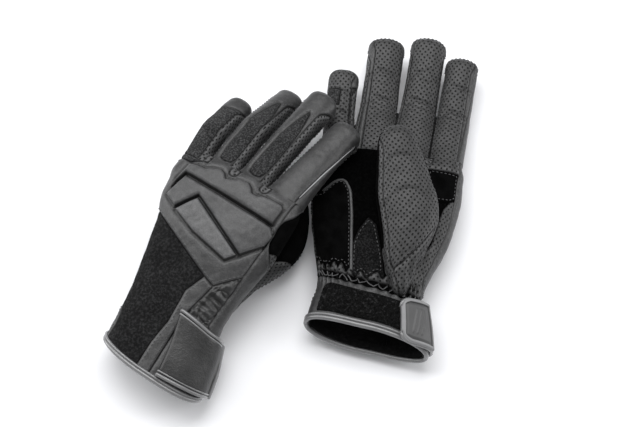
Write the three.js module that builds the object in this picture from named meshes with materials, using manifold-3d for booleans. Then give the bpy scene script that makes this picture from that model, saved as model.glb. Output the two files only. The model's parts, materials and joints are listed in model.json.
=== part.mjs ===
// A pair of short-cuff leather riding gloves, laid down with the left one's fingers across the right one.
// Units are millimetres. Each glove is built in its own frame and then placed:
//   +X towards the thumb, +Y towards the fingertips, +Z out of the back of the hand, origin at the wrist.
// The right glove is the same pattern mirrored in Z, so it lies palm up.
import * as THREE from "three";
import { mergeVertices } from "three/addons/utils/BufferGeometryUtils.js";
import Module from "manifold-3d";

const wasm = await Module();
wasm.setup();

// ---------------------------------------------------------------- driving dimensions
const LEATHER = 2.2; // shell thickness, leather and foam together
const LINING = 1.2; // thickness of the lining
const GAP = 0.35; // clear gap between neighbouring pieces
const PAD_LAYER = [0.45, 4.0]; // knuckle pads, as heights above the leather
const REST_HEIGHT = 19.9; // the right glove's pads are cut flat at this height, where they rest
const KNUCKLE_Y = 106; // where the hand ends and the fingers begin
const STATIONS = [-25, 0, 10, 25, 50, 80]; // heights at which the hand is sectioned
const HAND_POWER = 0.78; // exponent of the rounded-rectangle section
const FINGER_POWER = 0.85;
const ANGLE_STEP = 12; // facets round the hand, shared by every layer so that they nest
const FINGER_SIDES = 12;
const PIVOT_DROP = 4.5; // finger pivot below the finger's middle, towards the palm

// Round the cuff 90 is the back, 0 the thumb side and -90 the palm.
const STRAP = { seam: 82, fold: 11, end: -63 };
const STRAP_LAYER = [2.6, 3.8];
const TAB_LAYER = [4.15, 6.2];
const HOOK_LAYER = [1.7, 2.3];
const LOOP_LAYER = [0.35, 1.4];
const BINDING = 2.6; // width of the piped hem

// Half width, half height and lengths. The right glove's fingers lie pressed a little flatter than the left one's.
const FINGER_SIZE = {
  right: {
    little: { width: 11.6, height: 9.6, proximal: 38, distal: 41 },
    ring: { width: 13.7, height: 10.3, proximal: 50, distal: 55 },
    middle: { width: 13.3, height: 10.6, proximal: 51, distal: 57 },
    index: { width: 12.8, height: 10.6, proximal: 46, distal: 51 },
  },
  left: {
    little: { width: 10.4, height: 10, proximal: 38, distal: 41 },
    ring: { width: 11.4, height: 11, proximal: 50, distal: 55 },
    middle: { width: 12, height: 11.2, proximal: 51, distal: 55 },
    index: { width: 12.2, height: 11, proximal: 45, distal: 47 },
  },
};
const THUMB = {
  stops: [4, 25, 45, 60, 75, 101, 109, 114, 116],
  height: [[0, 9], [25, 12.5], [45, 12.5], [75, 11], [116, 9.5]],
  length: 116,
  round: 15,
  sides: 6, // facets of each half
};

// Each glove's own shape: hand sections are [y, middle x, half width, half height];
// hem gives the height of the mouth and how far it drops at the back and at the thumb side;
// strap edges are [angle, low, high];
// fingers are [root x, root y, splay, proximal pitch, distal pitch, least bend, most bend];
// a thumb's course is how far its middle line strays sideways, as [distance along, distance sideways].
const GLOVES = {
  right: {
    hand: [[-54, 0, 48, 11.5], [-25, 0, 43, 14.5], [0, -1, 37, 15.5], [25, 1, 46, 17], [50, 2, 53, 17.5],
      [80, 2.5, 56, 16.5], [108, 3, 56, 13.5]],
    hem: { middle: -37, dorsal: -5, thumb: -7 },
    strap: [[-63, -41, -9], [5, -42.5, -7], [82, -40.5, 0]],
    fingers: {
      little: [-40, 98, -2, 7, -6, 0, 30],
      ring: [-12.7, 103, -0.2, 7, -8, 0, 75],
      middle: [15.5, 104, 2.4, 7, -9, 0, 75],
      index: [43, 102, 2.7, 7, -6, 0, 75],
    },
    thumb: {
      root: [34, 9, -13],
      yaw: -16.5,
      pitch: -9.5,
      course: [[0, -14], [12, -11], [30, -3], [45, 0]],
      width: [[0, 8], [12, 14], [25, 18.5], [45, 22.5], [60, 22.5], [75, 20], [95, 16.5], [116, 12]],
      swing: 40,
    },
  },
  left: {
    hand: [[-54, 8, 42, 17], [-25, 5, 40, 16.5], [0, -1.5, 36.5, 16], [25, -4, 39.5, 17.5], [50, -4, 44.5, 18.5],
      [80, -5.5, 49.5, 17.5], [108, -9.5, 49.5, 14.5]],
    hem: { middle: -44, dorsal: -8, thumb: -3 },
    strap: [[-63, -41, -9], [5, -44.5, -4], [40, -47, -4], [82, -49, 0]],
    fingers: {
      little: [-50.3, 88.5, 0.5, -10, -36, 0, 60],
      ring: [-28, 92.5, 3.4, -10, -38, 0, 60],
      middle: [-4, 93.5, 5.2, -10, -18, -15, 0],
      index: [22.5, 93, 8, -9, -15, -15, 0],
    },
    thumb: {
      root: [21, 12, -15],
      yaw: 0,
      pitch: -9,
      course: [[0, -6], [33, -3], [51, 7], [71, 15], [90, 11], [116, -4]],
      width: [[0, 15], [25, 18.5], [45, 19], [75, 15.5], [116, 12.5]],
      swing: 40,
    },
  },
};
// Where each glove lies: origin, clockwise turn seen from above, pitch of the finger end.
const PLACES = {
  right: { at: [45, -56, 20], yaw: 0, pitch: 0, palmUp: true },
  left: { at: [-90, -93, 28.5], yaw: 23.5, pitch: 10, palmUp: false },
};

// Outlines on the back of the hand: x in units of the half width at the knuckles, y in millimetres.
const SEAM = { side: [-1.4, 52], tip: [0.28, 27], kink: [0.03, 20], hem: [0.12, -70], wrist: [0.47, 21] };
const BACK_OUTLINES = {
  back_panel: ["leather", [SEAM.side, SEAM.tip, SEAM.wrist, [1.4, 21], [1.4, 130], [-1.4, 130]]],
  side_textile: ["textile", [[-1.4, -70], SEAM.hem, SEAM.kink, SEAM.tip, SEAM.side]],
  cuff_back: ["leather", [SEAM.hem, [1.4, -70], [1.4, 21], SEAM.wrist, SEAM.tip, SEAM.kink]],
};
const PAD_OUTLINES = {
  pad_upper: [[-0.92, 67], [-0.71, 81], [0.68, 84], [0.66, 103], [0.36, 104], [0.28, 99.5], [0.2, 99.5],
    [0.12, 103.5], [-0.16, 102], [-0.25, 98.5], [-0.33, 98.5], [-0.4, 101.5], [-0.66, 101], [-0.86, 93]],
  pad_chevron: [[-0.92, 65.5], [-0.7, 57.5], [-0.52, 75], [0.53, 52], [0.66, 59], [0.68, 83], [-0.71, 80]],
  pad_lower: [[-0.69, 57], [0.42, 44], [0.53, 51], [-0.52, 74]],
};

// Colour and roughness of each kind of surface.
const SURFACES = {
  leather: [0x4a4a4c, 0.55],
  perforated: [0x404041, 0.65],
  textile: [0x161617, 0.95],
  suede: [0x1c1c1d, 0.95],
  loop: [0x0d0d0e, 1.0],
  lining: [0x232324, 0.9],
  piping: [0x2a2a2b, 0.25],
  rubber: [0x5a5a5c, 0.5],
};

// ---------------------------------------------------------------- helpers
const rad = THREE.MathUtils.degToRad;
const signedPower = (v, p) => Math.sign(v) * Math.abs(v) ** p;
const valueAt = (row, u) => (typeof row === "function" ? row(u) : row);

function interpolate(table, at, column = 1) {
  if (at <= table[0][0]) return table[0][column];
  for (let i = 1; i < table.length; i++) {
    const [before, after] = [table[i - 1], table[i]];
    if (at > after[0]) continue;
    return before[column] + ((at - before[0]) / (after[0] - before[0])) * (after[column] - before[column]);
  }
  return table.at(-1)[column];
}

// The two ends and every shared facet angle between them, high to low or low to high.
function anglesBetween(from, to) {
  const inside = [];
  for (let a = -180; a <= 180; a += ANGLE_STEP) {
    if (a > Math.min(from, to) && a < Math.max(from, to)) inside.push(a);
  }
  return from < to ? [from, ...inside, to] : [from, ...inside.reverse(), to];
}

function quad(a, b, c, d) {
  return [[a, b, c], [a, c, d]];
}

// Joins triangles that share points, drops the collapsed ones and turns the solid the right way out.
function closedSolid(triangles) {
  const flat = new THREE.BufferGeometry();
  flat.setAttribute("position", new THREE.Float32BufferAttribute(triangles.flat(2), 3));
  const merged = mergeVertices(flat, 1e-4);
  const [p, index] = [merged.attributes.position, merged.index.array];
  const corner = (i) => new THREE.Vector3().fromBufferAttribute(p, i);
  const kept = [];
  let volume = 0;
  for (let i = 0; i < index.length; i += 3) {
    const [a, b, c] = [index[i], index[i + 1], index[i + 2]];
    if (a === b || b === c || c === a) continue;
    kept.push([a, b, c]);
    volume += corner(a).dot(corner(b).cross(corner(c)));
  }
  merged.setIndex(kept.flatMap(([a, b, c]) => (volume < 0 ? [b, a, c] : [a, b, c])));
  return merged;
}

// A curved slab between two offsets of the surface point(u, v, offset); each row gives v for every u.
function slab(point, us, rows, [inner, outer]) {
  const grid = (offset) => us.map((u) => rows.map((row) => point(u, valueAt(row, u), offset).toArray()));
  const [top, bottom] = [grid(outer), grid(inner)];
  const [nu, nv] = [us.length - 1, rows.length - 1];
  const faces = [];
  for (let i = 0; i < nu; i++) {
    for (let j = 0; j < nv; j++) {
      faces.push(...quad(top[i][j], top[i + 1][j], top[i + 1][j + 1], top[i][j + 1]));
      faces.push(...quad(bottom[i][j], bottom[i][j + 1], bottom[i + 1][j + 1], bottom[i + 1][j]));
    }
    faces.push(...quad(bottom[i][0], bottom[i + 1][0], top[i + 1][0], top[i][0]));
    faces.push(...quad(top[i][nv], top[i + 1][nv], bottom[i + 1][nv], bottom[i][nv]));
  }
  for (let j = 0; j < nv; j++) {
    faces.push(...quad(top[0][j], top[0][j + 1], bottom[0][j + 1], bottom[0][j]));
    faces.push(...quad(bottom[nu][j], bottom[nu][j + 1], top[nu][j + 1], top[nu][j]));
  }
  return closedSolid(faces);
}

// A skin through rings of points. A ring of one point is a pole; with loop the last ring joins the first.
function skin(rings, loop) {
  const faces = [];
  const last = loop ? rings.length : rings.length - 1;
  for (let r = 0; r < last; r++) {
    const [low, high] = [rings[r], rings[(r + 1) % rings.length]];
    const n = Math.max(low.length, high.length);
    const at = (ring, j) => ring[ring.length === 1 ? 0 : j % n].toArray();
    for (let i = 0; i < n; i++) faces.push(...quad(at(low, i), at(low, i + 1), at(high, i + 1), at(high, i)));
  }
  return closedSolid(faces);
}

function toSolid(geometry) {
  const bare = geometry.index ? geometry.toNonIndexed() : geometry.clone();
  bare.deleteAttribute("normal");
  bare.deleteAttribute("uv");
  const merged = mergeVertices(bare, 1e-4);
  return new wasm.Manifold(new wasm.Mesh({
    numProp: 3,
    vertProperties: merged.attributes.position.array,
    triVerts: new Uint32Array(merged.index.array),
  }));
}

function toGeometry(solid) {
  const mesh = solid.getMesh();
  const geometry = new THREE.BufferGeometry();
  geometry.setAttribute("position", new THREE.BufferAttribute(mesh.vertProperties, 3));
  geometry.setIndex(new THREE.BufferAttribute(mesh.triVerts, 1));
  return geometry;
}

function meshOf(name, geometry, surface) {
  const [color, roughness] = SURFACES[surface];
  const faceted = geometry.toNonIndexed();
  faceted.computeVertexNormals();
  const mesh = new THREE.Mesh(faceted, new THREE.MeshStandardMaterial({ color, roughness, metalness: 0 }));
  mesh.name = name;
  return mesh;
}

// Moves each edge of an anticlockwise outline inwards, so that neighbouring panels keep a gap.
function inset(outline, distance) {
  const n = outline.length;
  const edge = (i) => {
    const [a, b] = [outline[i], outline[(i + 1) % n]];
    const direction = new THREE.Vector2(b[0] - a[0], b[1] - a[1]).normalize();
    const start = new THREE.Vector2(a[0] - direction.y * distance, a[1] + direction.x * distance);
    return { start, direction };
  };
  return outline.map((_, i) => {
    const [before, after] = [edge((i + n - 1) % n), edge(i)];
    const cross = before.direction.cross(after.direction);
    if (Math.abs(cross) < 0.05) return after.start;
    const t = after.start.clone().sub(before.start).cross(after.direction) / cross;
    return before.start.clone().addScaledVector(before.direction, t);
  });
}

// The part of a layer on the back of the hand that lies inside an outline drawn in x and y.
function cutPanel(layer, outline) {
  const depth = 80;
  const prism = new THREE.ExtrudeGeometry(new THREE.Shape(inset(outline, GAP / 2)), { depth, bevelEnabled: false });
  prism.translate(0, 0, -depth / 2);
  return layer.intersect(toSolid(prism));
}

// A group that turns about its own origin, with the axis and range of the joint kept alongside.
function pivotGroup(name, position, flexAxis, range) {
  const group = new THREE.Group();
  group.name = name;
  group.position.set(...position);
  group.userData = { flexAxis, range };
  return group;
}

// ---------------------------------------------------------------- the hand and cuff
// The surfaces every panel of one glove is laid on.
function handSurface(spec) {
  const section = (y) => [1, 2, 3].map((column) => interpolate(spec.hand, y, column));
  const point = (angle, y, offset) => {
    const [middle, halfWidth, halfHeight] = section(y);
    return new THREE.Vector3(
      middle + (halfWidth + offset) * signedPower(Math.cos(rad(angle)), HAND_POWER),
      y,
      (halfHeight + offset) * signedPower(Math.sin(rad(angle)), HAND_POWER));
  };
  const around = anglesBetween(-180, 180).slice(1);
  const ring = (row, offset) => around.map((angle) => point(angle, valueAt(row, angle), offset));
  const hem = (angle) => spec.hem.middle + spec.hem.dorsal * Math.sin(rad(angle)) + spec.hem.thumb * Math.cos(rad(angle));
  const wrist = (angle) => -1 - 7 * Math.cos(rad(angle)); // the gathered line across the palm side
  const tube = (offset, lift) =>
    [ring((a) => hem(a) + lift, offset), ...STATIONS.map((y) => ring(y, offset)), ring(KNUCKLE_Y - lift, offset)];
  return { section, point, ring, hem, wrist, tube };
}

function filledHand(hand, offset) {
  const rings = hand.tube(offset, 0);
  const middle = (ring) => ring.reduce((sum, p) => sum.add(p), new THREE.Vector3()).divideScalar(ring.length);
  return toSolid(skin([[middle(rings[0])], ...rings, [middle(rings.at(-1))]], false));
}

function addLining(hand, cavity, add) {
  const [outer, inner] = [-LEATHER - GAP, -LEATHER - GAP - LINING].map((offset) => hand.tube(offset, 3));
  add("lining", toGeometry(toSolid(skin([...outer, ...inner.reverse()], true)).subtract(cavity)), "lining");
}

function addPalmSide(hand, cavity, add) {
  const across = anglesBetween(-178, -2);
  const shell = [-LEATHER, 0];
  const palmRows = [(a) => hand.wrist(a) + 3, ...STATIONS.slice(2), KNUCKLE_Y];
  add("palm_panel", toGeometry(toSolid(slab(hand.point, across, palmRows, shell)).subtract(cavity)), "suede");
  const elasticRows = [(a) => hand.wrist(a) - 2.5, (a) => hand.wrist(a) + 2.5];
  add("wrist_elastic", slab(hand.point, across, elasticRows, [-LEATHER, -0.4]), "textile");
  const cuffTop = (a) => hand.wrist(a) - 3;
  add("cuff_palm", slab(hand.point, across, [hand.hem, STATIONS[0], cuffTop], shell), "leather");
  const onCuff = (angle, y, offset) => {
    if (y <= STATIONS[0]) return hand.point(angle, y, offset);
    const share = (y - STATIONS[0]) / (cuffTop(angle) - STATIONS[0]);
    return hand.point(angle, STATIONS[0], offset).lerp(hand.point(angle, cuffTop(angle), offset), share);
  };
  const loopRows = [(a) => hand.hem(a) + 3.5, STATIONS[0], (a) => hand.wrist(a) - 6];
  add("loop_patch", slab(onCuff, anglesBetween(-148, -22), loopRows, LOOP_LAYER), "loop");
}

function addBack(hand, flatBase, add) {
  const [middle, halfWidth] = hand.section(80);
  const scaled = (outline) => outline.map(([u, y]) => [middle + u * halfWidth, y]);
  const shell = toSolid(slab(hand.point, anglesBetween(178, 2), [hand.hem, ...STATIONS, KNUCKLE_Y], [-LEATHER, 0]));
  for (const [name, [surface, outline]] of Object.entries(BACK_OUTLINES)) {
    add(name, toGeometry(cutPanel(shell, scaled(outline))), surface);
  }
  const padRows = [36, 50, 80, KNUCKLE_Y - 0.5];
  const padLayer = toSolid(slab(hand.point, anglesBetween(172, 8), padRows, PAD_LAYER));
  for (const [name, outline] of Object.entries(PAD_OUTLINES)) {
    const pad = cutPanel(padLayer, scaled(outline));
    add(name, toGeometry(flatBase ? pad.trimByPlane([0, 0, -1], -REST_HEIGHT) : pad), "leather");
  }
}

function addHem(hand, add) {
  const rim = (drop, offset) => hand.ring((a) => hand.hem(a) - drop, offset);
  const [high, low] = [GAP, GAP + BINDING];
  add("hem_binding", skin([rim(high, 0.9), rim(low, 0.9), rim(low, -LEATHER), rim(high, -LEATHER)], true), "piping");
}

// The strap is sewn to the back of the cuff and peels off the palm side about its fold at the thumb side.
function makeStrap(side, edges, hand, add) {
  const edge = (share) => (angle) => {
    const [low, high] = [1, 2].map((column) => interpolate(edges, angle, column));
    return low + (high - low) * share;
  };
  const rootAngles = anglesBetween(STRAP.seam, STRAP.fold + 6);
  add("strap_root", slab(hand.point, rootAngles, [edge(0), STATIONS[0], edge(1)], [PAD_LAYER[0], STRAP_LAYER[1]]), "leather");

  const [low, high] = [edge(0), edge(1)].map((row) => hand.point(STRAP.fold, row(STRAP.fold), STRAP_LAYER[1] + 0.2));
  const hinge = low.clone().lerp(high, 0.5);
  const flap = pivotGroup(`${side}_strap_peel`, hinge, low.clone().sub(high).normalize().toArray(), [0, 80]);
  const point = (angle, y, offset) => hand.point(angle, y, offset).sub(hinge);
  const addTo = (name, ends, rows, layer, surface) =>
    flap.add(meshOf(`${side}_${name}`, slab(point, anglesBetween(...ends), rows, layer), surface));
  const whole = [STRAP.fold - 1, STRAP.end];
  addTo("strap_flap", whole, [edge(0.08), STATIONS[0], edge(0.92)], STRAP_LAYER, "leather");
  addTo("strap_piping_lower", whole, [edge(0), edge(0.07)], STRAP_LAYER, "piping");
  addTo("strap_piping_upper", whole, [edge(0.93), edge(1)], STRAP_LAYER, "piping");
  addTo("strap_tab", [-12, STRAP.end - 1], [edge(0.02), STATIONS[0], edge(0.98)], TAB_LAYER, "rubber");
  addTo("hook_patch", [-28, STRAP.end + 3], [edge(0.15), STATIONS[0], edge(0.85)], HOOK_LAYER, "loop");
  return flap;
}

// ---------------------------------------------------------------- the thumb
function thumbSurface({ course, width }) {
  return (angle, s, offset) => {
    const along = Math.max(0, (s - THUMB.length + THUMB.round) / THUMB.round);
    const dome = Math.sqrt(Math.max(0, 1 - along * along));
    const radius = (table) => (dome > 0 ? interpolate(table, s) * dome + offset : 0);
    return new THREE.Vector3(
      interpolate(course, s) + radius(width) * signedPower(Math.cos(rad(angle)), FINGER_POWER),
      s + offset * along,
      radius(THUMB.height) * signedPower(Math.sin(rad(angle)), FINGER_POWER));
  };
}

// Two half shells that meet along the side seams, cut to sit on the palm.
function makeThumb(side, spec, hand) {
  const { root, yaw, pitch, swing } = spec.thumb;
  const point = thumbSurface(spec.thumb);
  const thumb = pivotGroup(`${side}_thumb_swing`, root, [-1, 0, 0], [0, swing]);
  thumb.rotation.set(rad(pitch), 0, rad(-yaw), "ZXY");
  thumb.updateMatrix();
  const palm = filledHand(hand, GAP).transform(thumb.matrix.clone().invert().elements);
  for (const [half, name, surface] of [[1, "thumb_back", "textile"], [-1, "thumb_palm", "perforated"]]) {
    const angles = Array.from({ length: THUMB.sides + 1 }, (_, i) => (180 * half * i) / THUMB.sides);
    const apart = (angle, s, offset) => point(angle, s, offset).add(new THREE.Vector3(0, 0, (half * GAP) / 2));
    const shell = toSolid(slab(apart, angles, THUMB.stops, [-LEATHER, 0]));
    thumb.add(meshOf(`${side}_${name}`, toGeometry(shell.subtract(palm)), surface));
  }
  return thumb;
}

// The hollow of the thumb, which opens into the hand.
function thumbCavity(thumb, shape) {
  const point = thumbSurface(shape);
  const ring = (s) => Array.from({ length: 12 }, (_, i) => point(30 * i, s, -LEATHER));
  const pole = (s) => [new THREE.Vector3(interpolate(shape.course, s), s, 0)];
  const rings = [pole(0), ...THUMB.stops.slice(0, 4).map(ring), pole(90)];
  return toSolid(skin(rings, false)).transform(thumb.matrix.elements);
}

// ---------------------------------------------------------------- one finger
// The proximal sleeve is sewn to the hand. The distal one bends about a pivot near the palm side,
// and both rims are cut back as a wedge so that they meet only at full bend.
function makeFinger(side, name, spec) {
  const [x, y, splay, proximalPitch, distalPitch, least, most] = spec.fingers[name];
  const { width, height, proximal, distal } = FINGER_SIZE[side][name];
  const end = proximal + distal;
  const point = (angle, s, offset) => {
    const along = Math.max(0, (s - end + width) / width);
    const taper = (1 - (0.1 * s) / end) * Math.sqrt(Math.max(0, 1 - along * along));
    const radius = (full) => (taper > 0 ? full * taper + offset : 0);
    return new THREE.Vector3(
      radius(width) * signedPower(Math.cos(rad(angle)), FINGER_POWER),
      s + offset * along,
      radius(height) * signedPower(Math.sin(rad(angle)), FINGER_POWER));
  };
  const around = Array.from({ length: FINGER_SIDES }, (_, i) => (360 * i) / FINGER_SIDES);
  const ring = (s, offset) => around.map((angle) => point(angle, s, offset));
  const bend = proximalPitch - distalPitch;
  const wedge = (z) => {
    const below = -PIVOT_DROP - z;
    const closing = Math.max(0, below > 0 ? bend + most : -bend - least);
    return GAP / 2 + Math.abs(below) * Math.tan(rad(closing / 2));
  };
  const rim = (offset, direction) => ring(proximal, offset).map((p) => p.setY(proximal + direction * wedge(p.z)));
  const add = (parent, part, geometry, surface) => parent.add(meshOf(`${side}_${name}_${part}`, geometry, surface));

  const finger = new THREE.Group();
  finger.position.set(x, y, 0);
  finger.rotation.set(rad(proximalPitch), 0, rad(-splay), "ZXY");
  const sleeve = [ring(0, 0), ring(proximal - 14, 0), rim(0, -1), rim(-LEATHER, -1), ring(proximal - 14, -LEATHER),
    ring(0, -LEATHER)];
  const handEnd = new THREE.Vector3(0, 1, 0).applyQuaternion(finger.quaternion.clone().invert());
  const start = KNUCKLE_Y + GAP - y;
  add(finger, "proximal", toGeometry(toSolid(skin(sleeve, true)).trimByPlane(handEnd.toArray(), start)), "perforated");
  if (name === "ring" || name === "middle") {
    add(finger, "inset", slab(point, [130, 110, 90, 70, 50], [start + 5, proximal - 14, proximal - 3], [0.4, 1.1]), "textile");
  }

  const tip = pivotGroup(`${side}_${name}_flex`, [0, proximal, -PIVOT_DROP], [-1, 0, 0], [least, most]);
  tip.rotation.x = rad(distalPitch - proximalPitch);
  const stops = [end - width - 12, end - width, end - 0.45 * width, end - 0.12 * width];
  const outer = [rim(0, 1), ...stops.map((s) => ring(s, 0)), [point(0, end, 0)]];
  const inner = [[point(0, end, -LEATHER)], ...stops.slice(0, 3).reverse().map((s) => ring(s, -LEATHER)), rim(-LEATHER, 1)];
  add(tip, "distal", skin([...outer, ...inner], true).translate(0, -proximal, PIVOT_DROP), "perforated");
  finger.add(tip);
  return finger;
}

// ---------------------------------------------------------------- the pair
function makeGlove(side) {
  const spec = GLOVES[side];
  const hand = handSurface(spec);
  const glove = new THREE.Group();
  const add = (name, geometry, surface) => glove.add(meshOf(`${side}_${name}`, geometry, surface));
  const thumb = makeThumb(side, spec, hand);
  const cavity = thumbCavity(thumb, spec.thumb);
  addLining(hand, cavity, add);
  addPalmSide(hand, cavity, add);
  addBack(hand, PLACES[side].palmUp, add);
  addHem(hand, add);
  glove.add(makeStrap(side, spec.strap, hand, add), thumb);
  for (const name of Object.keys(FINGER_SIZE[side])) glove.add(makeFinger(side, name, spec));

  const { at, yaw, pitch, palmUp } = PLACES[side];
  glove.position.set(...at);
  glove.rotation.set(rad(pitch), 0, rad(-yaw), "ZXY");
  if (palmUp) glove.scale.z = -1;
  return glove;
}

const pair = new THREE.Group();
pair.add(makeGlove("right"), makeGlove("left"));
const box = new THREE.Box3().setFromObject(pair, true);
const centre = box.getCenter(new THREE.Vector3());
pair.position.set(-centre.x, -centre.y, -box.min.z);
const group = new THREE.Group();
group.add(pair);

export default group;
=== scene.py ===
"""Pair of leather riding gloves: the left one lies back up with its fingers across the right one, palm up."""
import json
import math

import bpy
import mathutils
import numpy as np
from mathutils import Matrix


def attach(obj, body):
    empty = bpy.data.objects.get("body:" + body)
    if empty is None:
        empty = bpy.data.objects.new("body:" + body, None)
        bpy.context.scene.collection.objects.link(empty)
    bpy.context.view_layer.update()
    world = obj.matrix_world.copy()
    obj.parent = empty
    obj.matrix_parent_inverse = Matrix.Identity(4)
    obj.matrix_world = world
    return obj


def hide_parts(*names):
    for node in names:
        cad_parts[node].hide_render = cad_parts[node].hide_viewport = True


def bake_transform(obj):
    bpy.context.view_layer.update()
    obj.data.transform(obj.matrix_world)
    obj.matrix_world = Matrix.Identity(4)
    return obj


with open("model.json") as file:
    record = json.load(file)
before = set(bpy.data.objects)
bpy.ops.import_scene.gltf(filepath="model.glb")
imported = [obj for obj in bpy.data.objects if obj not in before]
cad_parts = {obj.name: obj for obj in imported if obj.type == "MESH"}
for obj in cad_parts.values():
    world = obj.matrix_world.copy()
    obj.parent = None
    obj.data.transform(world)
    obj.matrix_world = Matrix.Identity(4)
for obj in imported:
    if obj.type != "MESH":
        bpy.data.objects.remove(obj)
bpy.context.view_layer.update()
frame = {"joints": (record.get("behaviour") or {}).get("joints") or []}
MM = 0.001

# ------------------------------------------------------------------ the gloves' dimensions, in millimetres
# Each glove has its own frame: +X to the thumb, +Y to the fingertips, +Z out of the back of the hand,
# origin at the wrist. The right glove is mirrored in Z, so it lies palm up.
HAND_POWER = 2.56  # exponent of the rounded-rectangle section of hand and cuff
FINGER_POWER = 2.35
FINGER_CAP = 8.5  # how far from its end a finger starts to round off
HAND_CAP = 15.0
HAND_END = 95.0
THUMB_CAP = 14.0
PIVOT_DROP = 4.5  # how far a finger's hinge lies below its middle line
LOWEST = 0.0002  # metres; nothing is drawn below this height
FREE_ROW = 107.6  # panels of the hand that end above this row run on into a finger, without a seam
FINGER_ROW = {"little": 101.0, "ring": 108.0, "middle": 108.0, "index": 108.0}
PALM_MIDDLE_ANGLE = -99.0  # degrees round the hand
PALM_HALF_ANGLE = 73.0
MM_PER_DEGREE = 0.62  # round the wrist
GATHER_PITCH = 6.4
ELASTIC_HALF = 2.2
FINGERS = ("little", "ring", "middle", "index")
# half width, half height, length to the middle knuckle, length beyond it
FINGER_SIZE = {
    "right": {"little": (11.6, 9.6, 38, 41), "ring": (14.3, 10.3, 50, 55),
              "middle": (13.8, 10.6, 51, 57), "index": (12.8, 10.6, 46, 51)},
    "left": {"little": (10.6, 10, 38, 41), "ring": (11.5, 11, 50, 55),
             "middle": (12.1, 11.2, 51, 55), "index": (12.2, 11, 45, 47)},
}
# How far the front seams have rolled round each finger: height of the seam, and its tilt from side to side.
FRONT_SEAM = {"little": (0.64, -0.35), "ring": (0.7, 0.3), "middle": (0.54, 0.1), "index": (0.64, -0.33)}
THUMB_HEIGHT = [(-10, 8), (0, 9), (25, 12.5), (45, 12.5), (75, 11), (116, 9.5)]
THUMB_LENGTH = 116.0
# hand: rows of height up the hand, middle, half width, half thickness. hem: its row, and how far it drops.
# fingers: root, then splay and the pitch of the lower and upper part. thumb: root, yaw, pitch, course, width.
# pattern: the middle and half width that the outlines of the panels are scaled by.
# saddle: how far the thumb's suede comes up the side. lean: how far the finger backs have rolled.
# flare: how much wider a finger gets towards its root, where along it, and on which side (0 is both).
SPEC = {
    "right": {
        "at": (45, -56, 20), "yaw": 0, "pitch": 0, "palm_up": True,
        "hand": [(-62, 0, 50, 10.5), (-54, 0, 48, 11.5), (-25, 0, 43, 14.5), (0, -1, 37, 15.5),
                 (25, 1, 46, 17), (50, 2, 53, 17.5), (80, 2.5, 56, 16.5), (104, 3, 54, 13), (120, 3, 52, 12)],
        "hem": (-37, -5, -7),
        "fingers": {"little": (-40, 98, -2, 7, -6), "ring": (-12.7, 103, -0.2, 7, -8),
                    "middle": (15.5, 104, 2.4, 7, -9), "index": (43, 102, 2.7, 7, -6)},
        "thumb": ((34, 9, -13), -16.5, -9.5, [(-10, -16), (0, -14), (12, -11), (30, -3), (45, 0), (116, 0)],
                  [(-10, 5), (0, 8), (12, 14), (25, 18.5), (45, 22.5), (60, 22.5), (75, 20), (95, 16.5),
                   (116, 12)]),
        "strap": [(-63, -41, -9), (5, -42.5, -7), (82, -40.5, 0)],
        "pattern": (2.5, 56), "saddle": 0, "lean": 0,
        "flare": {"little": (0.14, 10, 50, 1), "ring": (0.13, 12, 66, 0), "middle": (0.13, 12, 66, 0),
                  "index": (0.12, 12, 60, -1)},
    },
    "left": {
        "at": (-90, -93, 28.5), "yaw": 23.5, "pitch": 10, "palm_up": False,
        "hand": [(-62, 8, 42, 17), (-54, 8, 42, 17), (-25, 5, 40, 16.5), (0, -1.5, 36.5, 16),
                 (25, -4, 39.5, 17.5), (50, -4, 44.5, 18.5), (68, -7, 50, 18), (88, -7.2, 49.5, 16.5),
                 (97, -7.7, 48.4, 14.5), (108, -9, 48, 13.5), (120, -9.5, 46.5, 13)],
        "hem": (-44, -8, -3),
        "fingers": {"little": (-50.3, 88.5, 0.5, -10, -36), "ring": (-28, 92.5, 3.4, -10, -38),
                    "middle": (-4, 93.5, 5.2, -10, -18), "index": (22.5, 93, 8, -9, -15)},
        "thumb": ((21, 12, -15), 0, -9, [(0, -6), (33, -3), (51, 7), (71, 15), (90, 11), (116, -4)],
                  [(-10, 13), (0, 15), (25, 18.5), (45, 19), (75, 15.5), (116, 12.5)]),
        "strap": [(-63, -41, -9), (5, -44.5, -4), (40, -47, -4), (82, -49, 0)],
        "pattern": (-1.5, 49.5), "saddle": 62, "lean": 2.3,
        "flare": {"index": (0.26, 5, 62, 0), "little": (-0.32, 4, 38, -1)},
    },
}


# ------------------------------------------------------------------ small maths
def rotation(yaw, pitch):
    """Columns are the x, y and z axes of a frame turned clockwise by yaw, then tipped up by pitch."""
    a, p = math.radians(yaw), math.radians(pitch)
    turn = np.array([[math.cos(a), math.sin(a), 0], [-math.sin(a), math.cos(a), 0], [0, 0, 1]])
    tip = np.array([[1, 0, 0], [0, math.cos(p), -math.sin(p)], [0, math.sin(p), math.cos(p)]])
    return turn @ tip


def smooth_table(rows, at, width=7.0):
    """Columns of a table at given places, with its corners rounded off."""
    rows = np.array(rows, float)
    fine = np.arange(rows[0, 0] - 40, rows[-1, 0] + 40, 1.0)
    kernel = np.exp(-0.5 * (np.arange(-20, 21) / width) ** 2)
    kernel /= kernel.sum()
    out = []
    for column in range(1, rows.shape[1]):
        raw = np.interp(fine, rows[:, 0], rows[:, column])
        soft = np.convolve(np.pad(raw, 20, mode="edge"), kernel, mode="valid")
        out.append(np.interp(at, fine, soft))
    return out


def smoothstep(low, high, x):
    t = np.clip((x - low) / (high - low), 0, 1)
    return t * t * (3 - 2 * t)


def unrolled(x, z, height):
    """Distance sideways along the skin of a flattish tube, so that a pattern runs on down its sides."""
    return x + np.sign(x) * np.maximum(height - abs(z), 0)


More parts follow.
